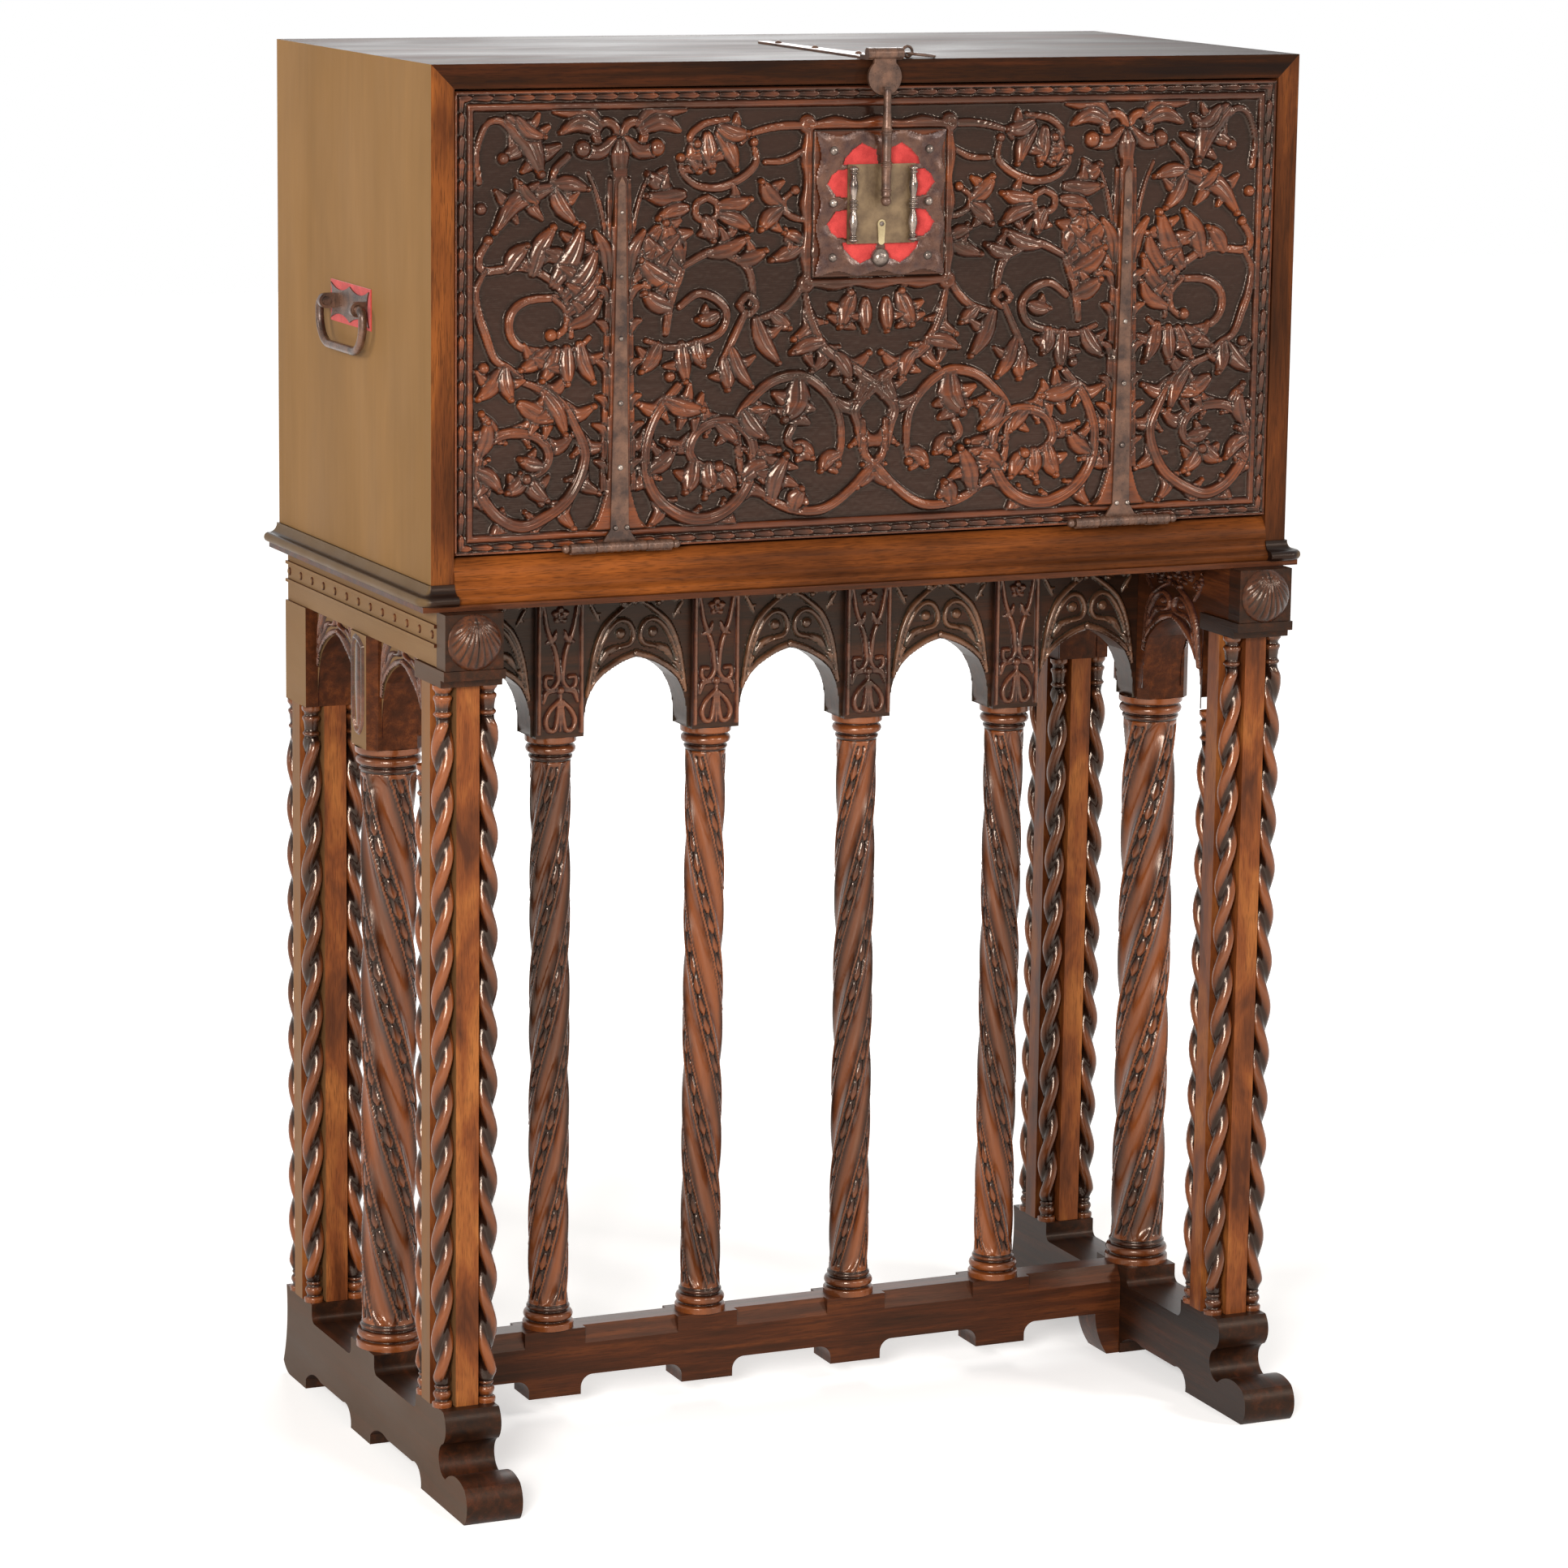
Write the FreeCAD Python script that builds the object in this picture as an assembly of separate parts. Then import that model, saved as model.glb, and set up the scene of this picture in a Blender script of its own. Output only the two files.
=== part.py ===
import FreeCAD, Part
import math
import os

V = FreeCAD.Vector
X_AXIS = V(1, 0, 0)
Y_AXIS = V(0, 1, 0)
Z_AXIS = V(0, 0, 1)
FULL_TURN = 360.0
LEFT = -1.0
RIGHT = -LEFT

# Driving dimensions in millimetres.
# The frame has X across the front, Y to the back and Z up.
# The floor is at zero height, and the feet are centred front to back.

# Stand layout
case_width = 1000.0
case_depth = 486.0
case_height = 558.0
stand_height = 957.0         # floor to the underside of the case
post_inset_x = 37.2          # post centre in from the side of the case
post_inset_front = 24.5      # front post centre behind the face of the case
post_inset_back = 44.5       # back post centre in front of the back of the case
toe_reach = 118.0            # front post centre back from the front of the toe
heel_reach = 62.0            # back of the foot behind the back post centre
seat_gap = 0.3               # clearance between pieces that only rest or pass

# Feet
foot_thickness = 63.0
foot_height = 105.0
foot_channel_depth = 21.0
foot_channel_radius = 9.0
foot_arch_rise = 22.0
foot_pad_half = 38.0         # raised seat under a post, from its centre
column_pad_half = 38.0       # raised seat under an end column
toe_height = 44.0
toe_pad_end = 22.0           # toe pad end behind the front post centre
middle_pad_front = 25.0
middle_pad_back = 39.0
heel_pad_front = 16.0
heel_round = 24.0
heel_wave = 12.0

# Posts and the twisted colonettes in their corners
strip_width = 25.4
post_half = 34.0
front_post_drop = 77.0       # top of a front post below the case
back_post_drop = 169.0       # top of a back post below the case
colonette_offset = 24.5
colonette_radius = 8.8
colonette_ring_radius = 10.6
colonette_ring_height = 6.0
colonette_base_height = 24.0
colonette_cap_height = 34.0

# Moulded cap under each loper head
cap_fillet_height = 8.0
cap_height = 18.0
cap_proud = 20.0

# End beams with their arches, friezes and pendant piers
beam_thickness = 50.0
end_arch_rise = 92.0
pier_drop = 182.0            # bottom of the pendant piers below the case
pier_half = 34.0
pier_chamfer = 10.0
frieze_thickness = 14.0
frieze_height = 58.0
frieze_ledge_height = 3.5
frieze_ledge_proud = 3.0
frieze_band_height = 20.0
frieze_top_band = 14.0

# Columns, all with a spiral shaft between turned rings
end_shaft_radius = 30.5
end_ring_radius = 37.0
arcade_shaft_radius = 22.5
arcade_ring_radius = 29.0
column_base_height = 27.0
column_cap_height = 27.0
flute_depth = 4.2
flute_count = 4
band_angle = 34.0            # sweep of a husk band round the shaft
shaft_turns = 1.15
shaft_sections = 12

# Arcade between the two ends
arch_half_width = 61.0
arcade_end_width = 3.5       # wood left outside the last arch
arch_rise = 83.0
arcade_spandrel_depth = 40.0
arcade_pilaster_depth = 54.0
pilaster_width = 56.0
pendant_taper = 4.0          # pendants draw in towards the ring of the column

# Stretcher between the feet
stretcher_depth = 46.0
stretcher_bottom = 50.0
stretcher_top_chamfer = 19.0
stretcher_pad_drop = 22.0
stretcher_pad_half = 31.0
stretcher_pad_round = 14.0
stretcher_seat_half = 36.0
stretcher_end_width = 32.0

# Lopers, the sliding supports of the open fall
loper_width = 39.0
loper_height = 40.0
loper_length = 430.0
loper_clearance = 0.5
loper_head_width = 64.0
loper_head_depth = 25.0
loper_head_reach = 28.0      # head face in front of the case face
shell_bulge = 13.0

# Case
board = 25.0
back_board = 18.0
base_moulding_height = 21.0
base_moulding_proud = 18.0
base_fillet_height = 6.0
base_fillet_proud = 12.0
sill_height = 53.0           # top of the sill above the underside of the case
sill_slope_height = 22.0
sill_slope_depth = 9.0
front_bead_height = 10.0
front_bead_proud = 9.0

# Fall front
fall_gap_side = 1.5
fall_gap_top = 2.5
fall_gap_bottom = 2.5
fall_thickness = 24.0
ground_depth = 6.0           # sunk ground behind the case face
border_width = 21.0
border_husk_width = 13.0
border_husk_proud = 2.0
border_fillet_sink = 2.0
raised_proud = 2.0           # beds left standing for the ironwork
hinge_axis_out = 8.5         # hinge axis in front of the case face
hinge_barrel_radius = 5.5
hinge_axis_up = 3.5          # hinge axis above the bottom edge of the fall
hinge_length = 114.0
hinge_middle_length = 56.0
hinge_spacing = 586.0
hinge_pin_radius = 2.0
hinge_pin_clearance = 0.06
hinge_ball_radius = 4.6
knuckle_gap = 0.5

# Iron straps on the fall
strap_thickness = 2.5
strap_length = 372.0
strap_top_width = 8.0
strap_bottom_width = 20.0
strap_flare_width = 40.0
strap_flare_height = 15.0
strap_bed_width = 25.0
strap_bed_top_width = 13.0
strap_bed_foot_width = 66.0
strap_bed_length = 372.0

# Lock
lock_plate_width = 150.0
lock_plate_height = 152.0
lock_centre_up = 352.5       # plate centre above the bottom edge of the fall
lock_plate_thickness = 2.0
lock_scallop_depth = 6.0
velvet_thickness = 1.0
velvet_inset = 10.0
escutcheon_width = 78.0
escutcheon_height = 83.0
escutcheon_thickness = 2.0
window_gap = 10.0            # metal left between two pierced windows
window_inset = 17.0          # window from the plate's edge
baluster_spacing = 69.0
baluster_length = 78.0
baluster_radius = 3.6
nail_radius = 4.2
nail_height = 3.0
nail_inset = 20.0            # nails from the plate's edge
boss_radius = 9.5
boss_height = 8.0
boss_drop = 56.5             # boss below the plate centre
keyhole_drop = 21.0          # keyhole cover's pin below the plate centre
keyhole_cover_width = 9.0
keyhole_cover_length = 22.0
keyhole_cover_thickness = 1.2
keyhole_pin_radius = 1.4
keyhole_width = 5.0
keyhole_height = 12.0
lock_case_width = 96.0
lock_case_height = 80.0
lock_case_depth = 18.0

# Hasp and the ironwork on the top of the case
hasp_knuckle_radius = 6.0
hasp_knuckle_length = 26.0
hasp_ear_length = 7.0
hasp_axis_out = 9.0
hasp_axis_up = 6.5
hasp_shield_radius = 19.0
hasp_shield_drop = 24.5
hasp_plate_thickness = 4.0
hasp_neck_width = 25.0
hasp_rod_radius = 3.0
hasp_rod_length = 153.0
hasp_turned_length = 78.0
hasp_turned_radius = 4.6
hasp_ball_radius = 5.5
hasp_rod_out = 17.5
top_strap_length = 308.0
top_strap_width = 30.0
top_strap_tip_width = 14.0
top_strap_thickness = 2.5
stud_radius = 4.0
stud_height = 3.0
ring_place_x = 36.0
ring_place_y = 12.0
ring_radius = 15.0
ring_wire = 1.6
eye_radius = 5.4
eye_wire = 1.6

# Side handles
handle_height = 292.0        # bail pivot above the underside of the case
handle_plate_width = 120.0
handle_plate_height = 38.0
handle_plate_thickness = 1.5
handle_velvet_thickness = 1.2
handle_velvet_margin = 3.0
bail_width = 137.0
bail_drop = 45.0
bail_wire = 4.5
bail_corner = 31.0
bail_out = 12.0
handle_eye_width = 7.0
handle_eye_radius = 8.0
bail_clearance = 0.3

# Interior of the case
interior_setback = 28.0      # drawer fronts behind the inner face of the fall
shelf_thickness = 10.0
divider_thickness = 10.0
floor_thickness = 12.0
floor_above_axis = 50.0      # drawer floor above the hinge axis
plinth_thickness = 16.0
drawer_rows = 3
drawer_columns = 3
drawer_clearance = 1.0
drawer_depth = 380.0
drawer_front = 12.0
drawer_side = 8.0
drawer_bottom = 6.0
knob_radius = 8.0
knob_length = 15.0

# Places worked out from the sizes above
post_spacing_y = case_depth - post_inset_front - post_inset_back
foot_length = toe_reach + post_spacing_y + heel_reach
toe_y = -foot_length / 2
heel_y = foot_length / 2
front_post_y = toe_y + toe_reach
back_post_y = front_post_y + post_spacing_y
middle_y = (front_post_y + back_post_y) / 2
post_x = case_width / 2 - post_inset_x
foot_inner_x = post_x - foot_thickness / 2
case_face_y = front_post_y - post_inset_front
case_back_y = case_face_y + case_depth
case_top_z = stand_height + case_height
fall_bottom_z = stand_height + sill_height + fall_gap_bottom
fall_top_z = case_top_z - board - fall_gap_top
fall_half = case_width / 2 - board - fall_gap_side
fall_back_y = case_face_y + fall_thickness
ground_y = case_face_y + ground_depth
bed_y = case_face_y - raised_proud
hinge_y = case_face_y - hinge_axis_out
hinge_z = fall_bottom_z + hinge_axis_up
lock_z = fall_bottom_z + lock_centre_up
interior_y = fall_back_y + interior_setback
interior_back_y = case_back_y - back_board
interior_half = case_width / 2 - board
floor_z = hinge_z + floor_above_axis
front_post_top = stand_height - front_post_drop
back_post_top = stand_height - back_post_drop
pier_bottom = stand_height - pier_drop
beam_outer_x = post_x + post_half - frieze_thickness - seat_gap
beam_inner_x = beam_outer_x - beam_thickness
beam_top_z = stand_height - seat_gap
arcade_half = beam_inner_x - seat_gap
bay_count = 5
bay_pitch = 2 * (arcade_half - arcade_end_width - arch_half_width) / (bay_count - 1)
cap_top_z = front_post_top + cap_height
column_seat_z = foot_height


def box(low, high):
    size = V(*high) - V(*low)
    return Part.makeBox(size.x, size.y, size.z, V(*low))


def mirrored_box(side, inner, outer, low_y, high_y, low_z, high_z):
    """A box between two distances from the middle plane, on the left or the right."""
    low_x = min(side * inner, side * outer)
    high_x = max(side * inner, side * outer)
    return box((low_x, low_y, low_z), (high_x, high_y, high_z))


def outline(points, place):
    """A closed wire: one point draws a line to it, a pair an arc through the first."""
    edges = []
    last = place(points[0])
    for step in points[1:] + [points[0]]:
        if isinstance(step[0], tuple):
            middle = place(step[0])
            end = place(step[1])
            edges.append(Part.Arc(last, middle, end).toShape())
        else:
            end = place(step)
            if last.isEqual(end, 0):
                continue
            edges.append(Part.LineSegment(last, end).toShape())
        last = end
    return Part.Wire(edges)


def prism(points, place, along):
    return Part.Face(outline(points, place)).extrude(along)


def on_side(x):
    """Places outline points given as depth and height on the plane at x."""
    return lambda point: V(x, point[0], point[1])


def on_front(y):
    """Places outline points given as width and height on the plane at y."""
    return lambda point: V(point[0], y, point[1])


def on_floor(z):
    """Places outline points given as width and depth on the plane at z."""
    return lambda point: V(point[0], point[1], z)


def turned(profile, base, axis=Z_AXIS):
    """A turned solid from (radius, height) points, closed on its axis."""
    points = [V(0, 0, profile[0][1])]
    points += [V(radius, 0, height) for radius, height in profile]
    points.append(V(0, 0, profile[-1][1]))
    points.append(points[0])
    solid = Part.Face(Part.makePolygon(points)).revolve(V(0, 0, 0), Z_AXIS, FULL_TURN)
    if axis != Z_AXIS:
        solid.Placement = FreeCAD.Placement(V(0, 0, 0), FreeCAD.Rotation(Z_AXIS, axis))
    solid.translate(base)
    return solid


def dome(centre, radius, height, axis):
    """A domed nail head or boss on a flat seat at centre."""
    sphere_radius = (radius * radius + height * height) / (2 * height)
    sphere = Part.makeSphere(sphere_radius, centre + axis * (height - sphere_radius))
    half_space = Part.makeCylinder(radius + height, height + radius, centre, axis)
    return sphere.common(half_space)


def save(name, *solids):
    shape = solids[0] if len(solids) == 1 else Part.makeCompound(list(solids))
    shape.exportStep("parts/" + name + ".step")


# Feet

heel_bend_share = 0.44
heel_lift_share = 0.133


def channel(low_y, high_y):
    """The lowered stretch between two seats, with quarter-round ends."""
    floor = foot_height - foot_channel_depth
    radius = foot_channel_radius
    bend = radius * math.sin(math.pi / 4)
    rise = radius - bend
    return [(low_y, foot_height),
            (low_y, floor + radius),
            ((low_y + rise, floor + rise), (low_y + radius, floor)),
            (high_y - radius, floor),
            ((high_y - rise, floor + rise), (high_y, floor + radius)),
            (high_y, foot_height)]


def recess(low_y, high_y):
    """An arched recess in the underside, square at its front and round at its back."""
    rise = foot_arch_rise
    run = high_y - low_y
    return [(high_y, 0),
            (high_y, rise / 2),
            ((high_y - run / 8, rise), (high_y - run / 3, rise)),
            (low_y + run / 6, rise),
            ((low_y + run / 40, rise * 3 / 4), (low_y, 0))]


def foot(side):
    seat_front = front_post_y - foot_pad_half
    bulge_depth = foot_pad_half - post_half + heel_wave
    neck_z = toe_height * 3 / 4
    neck_top = foot_height * 2 / 3
    front = [(toe_y + toe_height / 5, 0),
             ((toe_y, toe_height / 2), (toe_y + toe_height / 5, toe_height * 9 / 10)),
             ((toe_y + toe_height / 2, toe_height), (seat_front - toe_height / 3, neck_z)),
             ((seat_front + bulge_depth / 3, foot_height / 2), (seat_front - bulge_depth / 2, neck_top)),
             ((seat_front - bulge_depth, foot_height * 5 / 6), (seat_front - bulge_depth / 2, foot_height))]
    top = channel(front_post_y + foot_pad_half, middle_y - column_pad_half)
    top += channel(middle_y + column_pad_half, back_post_y - foot_pad_half)
    back = [(heel_y - heel_wave, foot_height),
            ((heel_y - heel_wave, foot_height / 2), (heel_y, heel_round / 2)),
            ((heel_y - heel_round * heel_bend_share, heel_round * heel_lift_share), (heel_y - heel_round, 0))]
    under = recess(middle_y + middle_pad_back, back_post_y - heel_pad_front)
    under += recess(front_post_y + toe_pad_end, middle_y - middle_pad_front)
    inner = side * foot_inner_x
    solid = prism(front + top + back + under, on_side(inner), X_AXIS * side * foot_thickness)
    return solid


# Posts

def post_core(x, y, top):
    """A cross-shaped shaft: a plain strip on each face and a rebate at each corner."""
    half = strip_width / 2
    across = box((x - post_half, y - half, foot_height), (x + post_half, y + half, top))
    along = box((x - half, y - post_half, foot_height), (x + half, y + post_half, top))
    return across.fuse(along).removeSplitter()


def post_cap(x):
    """Two fillets that carry the head of the loper."""
    low = box((x - post_half, front_post_y - post_half - cap_proud / 2, front_post_top),
              (x + post_half, front_post_y + post_half, front_post_top + cap_fillet_height))
    high = box((x - post_half, front_post_y - post_half - cap_proud, low.BoundBox.ZMax),
               (x + post_half, front_post_y + post_half, cap_top_z))
    return low.fuse(high)


def colonette(x, y, top):
    """One turned colonette with rings at its base and its cap."""
    ring = colonette_ring_radius
    shaft = colonette_radius
    neck = shaft - (ring - shaft)
    step = colonette_ring_height
    base_top = foot_height + colonette_base_height
    cap_low = top - colonette_cap_height
    profile = [(ring, foot_height), (ring, foot_height + step), (neck, foot_height + step),
               (neck, base_top - 2 * step), (shaft, base_top - 2 * step), (shaft, base_top - step),
               (neck, base_top - step), (neck, base_top), (shaft, base_top + step),
               (shaft, cap_low - step), (neck, cap_low), (neck, cap_low + step),
               (shaft, cap_low + step), (shaft, cap_low + 2 * step), (neck, cap_low + 2 * step),
               (neck, top - 2 * step), (ring, top - 2 * step), (ring, top)]
    return turned(profile, V(x, y, 0))


def colonettes(x, y, front_top, back_top):
    solids = []
    for along, top in ((LEFT, front_top), (RIGHT, back_top)):
        for across in (LEFT, RIGHT):
            solids.append(colonette(x + across * colonette_offset, y + along * colonette_offset, top))
    return solids


# Columns

def flute_section(radius, height, turn):
    """One ring of the spiral: hollow flutes alternate with round bands."""
    pitch = FULL_TURN / flute_count
    edges = []
    for index in range(flute_count):
        start = turn + index * pitch
        hollow_end = start + pitch - band_angle
        end = start + pitch
        angles = (start, (start + hollow_end) / 2, hollow_end, (hollow_end + end) / 2, end)
        radii = (radius, radius - flute_depth, radius, radius, radius)
        points = [V(r * math.cos(math.radians(a)), r * math.sin(math.radians(a)), height)
                  for r, a in zip(radii, angles)]
        edges.append(Part.Arc(points[0], points[1], points[2]).toShape())
        edges.append(Part.Arc(points[2], points[3], points[4]).toShape())
    return Part.Wire(edges)


# Shares of the rings at each end of a column: how far out from the shaft, and how far along.
ring_shares = ((1.0, 0.0), (1.0, 0.33), (0.0, 0.44), (0.5, 0.56), (0.5, 0.67), (0.0, 0.78), (0.5, 0.89), (0.0, 1.0))


def ring_stack(ring, shaft, low, high):
    """Radius and height points of three rings between two heights, widest first."""
    return [(shaft + (ring - shaft) * out, low + (high - low) * along) for out, along in ring_shares]


def column(x, y, seat, top, shaft, ring, hand):
    """A column: turned base, spiral shaft and turned cap in one piece."""
    shaft_low = seat + column_base_height
    shaft_high = top - column_cap_height
    base = turned(ring_stack(ring, shaft, seat, shaft_low), V(0, 0, 0))
    cap_rings = ring_stack(ring, shaft, seat, seat + column_cap_height)
    cap_profile = [(radius, seat + top - height) for radius, height in reversed(cap_rings)]
    cap = turned(cap_profile, V(0, 0, 0))
    wires = []
    for index in range(shaft_sections + 1):
        share = index / shaft_sections
        height = shaft_low + (shaft_high - shaft_low) * share
        wires.append(flute_section(shaft, height, hand * FULL_TURN * shaft_turns * share))
    spiral = Part.makeLoft(wires, True, True)
    solid = base.fuse([spiral, cap])
    solid.translate(V(x, y, 0))
    return solid


# Arcade and end beams

arch_side_shares = ((1.0, 0.14), (0.95, 0.42), (0.80, 0.68))
arch_top_shares = ((0.50, 0.86), (0.0, 1.0))


def arch_points(centre, half, low, rise):
    """Outline of a pointed arch with rounded shoulders, from its left foot."""
    def at(side, shares):
        return (centre + side * half * shares[0], low + rise * shares[1])
    foot_low, shoulder, haunch = arch_side_shares
    crown, apex = arch_top_shares
    wide = half + pendant_taper
    bend = half + pendant_taper / 4
    bend_z = low + rise * foot_low[1] / 2
    return [(centre - wide, low - rise),
            (centre - wide, low),
            ((centre - bend, bend_z), at(LEFT, foot_low)),
            (at(LEFT, shoulder), at(LEFT, haunch)),
            (at(LEFT, crown), at(LEFT, apex)),
            (at(RIGHT, crown), at(RIGHT, haunch)),
            (at(RIGHT, shoulder), at(RIGHT, foot_low)),
            ((centre + bend, bend_z), (centre + wide, low)),
            (centre + wide, low - rise)]


def arcade():
    """The beam over the columns, with five arches and a pilaster at each pendant."""
    depth = arcade_spandrel_depth / 2
    beam = box((-arcade_half, middle_y - depth, pier_bottom), (arcade_half, middle_y + depth, beam_top_z))
    cutter_y = middle_y - arcade_pilaster_depth
    for index in range(bay_count):
        centre = bay_pitch * (index - (bay_count - 1) / 2)
        points = arch_points(centre, arch_half_width, pier_bottom, arch_rise)
        beam = beam.cut(prism(points, on_front(cutter_y), Y_AXIS * 2 * arcade_pilaster_depth))
    for x in column_places():
        low = (x - pilaster_width / 2, middle_y - arcade_pilaster_depth / 2, pier_bottom)
        high = (x + pilaster_width / 2, middle_y + arcade_pilaster_depth / 2, beam_top_z)
        beam = beam.fuse(box(low, high))
    return beam.removeSplitter()


def column_places():
    """A column stands under each pendant between two arches."""
    column_count = bay_count - 1
    return [bay_pitch * (index - (column_count - 1) / 2) for index in range(column_count)]


def end_beam(side):
    """The carved beam over the end column, hollowed for its loper."""
    pier_front = middle_y - pier_half
    pier_back = middle_y + pier_half
    front_end = front_post_y + post_half + seat_gap
    back_end = back_post_y + post_half
    head_z = cap_top_z + seat_gap
    plate = mirrored_box(side, beam_inner_x, beam_outer_x, front_end, back_end, back_post_top, beam_top_z)
    over_post = mirrored_box(side, beam_inner_x, beam_outer_x, case_face_y, front_end, head_z, beam_top_z)
    solid = plate.fuse(over_post)
    cutter = X_AXIS * side * (beam_outer_x - beam_inner_x + 2 * post_half)
    start = on_side(side * (beam_inner_x - post_half))
    for low, high in ((front_end, pier_front), (pier_back, back_post_y - post_half)):
        half = (high - low) / 2
        points = arch_points((low + high) / 2, half, back_post_top, end_arch_rise)
        solid = solid.cut(prism(points, start, cutter))
    inner = beam_inner_x
    outer = post_x + pier_half
    frieze_low = beam_top_z - frieze_height
    pier = mirrored_box(side, inner, outer, pier_front, pier_back, pier_bottom, frieze_low)
    back_head = mirrored_box(side, inner, outer, back_post_y - post_half, back_end, back_post_top, frieze_low)
    pier = chamfer_uprights(pier)
    solid = solid.fuse([pier, back_head])
    groove = mirrored_box(side, loper_inner_x() - loper_clearance, loper_outer_x() + loper_clearance,
                          case_face_y - post_half, back_end - board, head_z, stand_height)
    return solid.cut(groove).removeSplitter()


def chamfer_uprights(block):
    """Chamfers the four upright edges of a block."""
    uprights = [edge for edge in block.Edges
                if abs(edge.Vertexes[0].X - edge.Vertexes[1].X) < seat_gap
                and abs(edge.Vertexes[0].Y - edge.Vertexes[1].Y) < seat_gap]
    return block.makeChamfer(pier_chamfer, uprights)


def frieze(side):
    """The outer board of an end, with its top band, punched band and two ledges."""
    inner = beam_outer_x + seat_gap
    face = inner + frieze_thickness - frieze_ledge_proud
    proud = face + frieze_ledge_proud
    low = beam_top_z - frieze_height
    upper = beam_top_z - frieze_top_band
    lower = upper - frieze_band_height
    ledge = frieze_ledge_height
    points = [(side * inner, low), (side * face, low), (side * face, lower - ledge),
              (side * proud, lower - ledge), (side * proud, lower), (side * face, lower),
              (side * face, upper - ledge), (side * proud, upper - ledge), (side * proud, upper),
              (side * face, upper), (side * face, beam_top_z), (side * inner, beam_top_z)]
    start = case_face_y
    return prism(points, on_front(start), Y_AXIS * (back_post_y + post_half - start))


def stretcher():
    """The rail between the feet: seats under the columns, pads below and coved edges."""
    half = foot_inner_x - seat_gap
    top = foot_height
    drop = stretcher_bottom - stretcher_pad_drop
    radius = stretcher_pad_round
    bend = radius * (1 - math.sin(math.pi / 4))
    points = [(-half, top), (half, top), (half, 0), (half - stretcher_end_width / 2, 0),
              ((half - stretcher_end_width + bend, stretcher_bottom / 2),
               (half - stretcher_end_width, stretcher_bottom))]
    for x in reversed(column_places()):
        right = x + stretcher_pad_half
        left = x - stretcher_pad_half
        points += [(right + radius, stretcher_bottom),
                   ((right + bend, stretcher_bottom - bend), (right, stretcher_bottom - radius)),
                   (right, drop), (left, drop), (left, stretcher_bottom - radius),
                   ((left - bend, stretcher_bottom - bend), (left - radius, stretcher_bottom))]
    points += [(-half + stretcher_end_width, stretcher_bottom),
               ((-half + stretcher_end_width - bend, stretcher_bottom / 2),
                (-half + stretcher_end_width / 2, 0)), (-half, 0)]
    front = middle_y - stretcher_depth / 2
    solid = prism(points, on_front(front), Y_AXIS * stretcher_depth)
    edges = [-half] + [x + side * stretcher_seat_half for x in column_places() for side in (LEFT, RIGHT)] + [half]
    for start, end in zip(edges[0::2], edges[1::2]):
        for side in (LEFT, RIGHT):
            edge_y = middle_y + side * stretcher_depth / 2
            inner_y = edge_y - side * stretcher_top_chamfer / 2
            points = [(inner_y, top + seat_gap), (edge_y + side * seat_gap, top + seat_gap),
                      (edge_y + side * seat_gap, top - stretcher_top_chamfer)]
            solid = solid.cut(prism(points, on_side(start), X_AXIS * (end - start)))
    return solid


# Lopers

def loper_inner_x():
    return post_x - loper_width / 2


def loper_outer_x():
    return post_x + loper_width / 2


def loper(side):
    """A sliding bar with a square head, carved with a scallop shell."""
    face = case_face_y - loper_head_reach
    head_low = cap_top_z + seat_gap
    head_back = face + loper_head_depth
    head = mirrored_box(side, post_x - loper_head_width / 2, post_x + loper_head_width / 2,
                        face, head_back, head_low, beam_top_z)
    bar_low = head_low + loper_clearance
    bar = mirrored_box(side, loper_inner_x(), loper_outer_x(), head_back, head_back + loper_length,
                       bar_low, bar_low + loper_height)
    centre = V(side * post_x, face, (head_low + beam_top_z) / 2)
    radius = (beam_top_z - head_low) / 2
    shell = dome(centre, radius, shell_bulge, Y_AXIS * LEFT)
    return head.fuse([bar, shell])


# Case

def side_board(side):
    outer = case_width / 2
    points = [(side * outer, stand_height + base_fillet_height), (side * outer, case_top_z),
              (side * (outer - board), case_top_z - board),
              (side * (outer - board), stand_height + base_fillet_height)]
    return prism(points, on_front(case_face_y), Y_AXIS * case_depth)


def top_board():
    outer = case_width / 2
    points = [(-outer, case_top_z), (outer, case_top_z), (outer - board, case_top_z - board),
              (-outer + board, case_top_z - board)]
    return prism(points, on_front(case_face_y), Y_AXIS * case_depth)


def bottom_board():
    """The bottom, with the thin fillet that shows under the mouldings."""
    low = stand_height
    high = stand_height + base_fillet_height
    outer = case_width / 2 + base_fillet_proud
    fillet = box((-outer, case_face_y - front_bead_proud, low), (outer, case_back_y, high))
    inner = box((-interior_half, case_face_y + board, high), (interior_half, interior_back_y, high + board))
    return fillet.fuse(inner)


def back_panel():
    low = stand_height + base_fillet_height
    return box((-interior_half, interior_back_y, low), (interior_half, case_back_y, case_top_z - board))


def sill():
    """The front rail: a sloping sill, a cove and a bead under the fall."""
    low = stand_height + base_fillet_height
    top = stand_height + sill_height
    slope_low = top - sill_slope_height
    bead_top = low + front_bead_height
    face = case_face_y
    bead_y = face - front_bead_proud
    cove_z = (slope_low + bead_top) / 2
    points = [(face + board, low), (bead_y + front_bead_height / 4, low),
              ((bead_y, low + front_bead_height / 2), (bead_y + front_bead_height / 4, bead_top)),
              ((face - front_bead_proud / 6, cove_z), (face - front_bead_proud / 3, slope_low)),
              ((face, (slope_low + top) / 2), (face + sill_slope_depth, top)),
              (face + board, top)]
    return prism(points, on_side(-interior_half), X_AXIS * 2 * interior_half)


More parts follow.
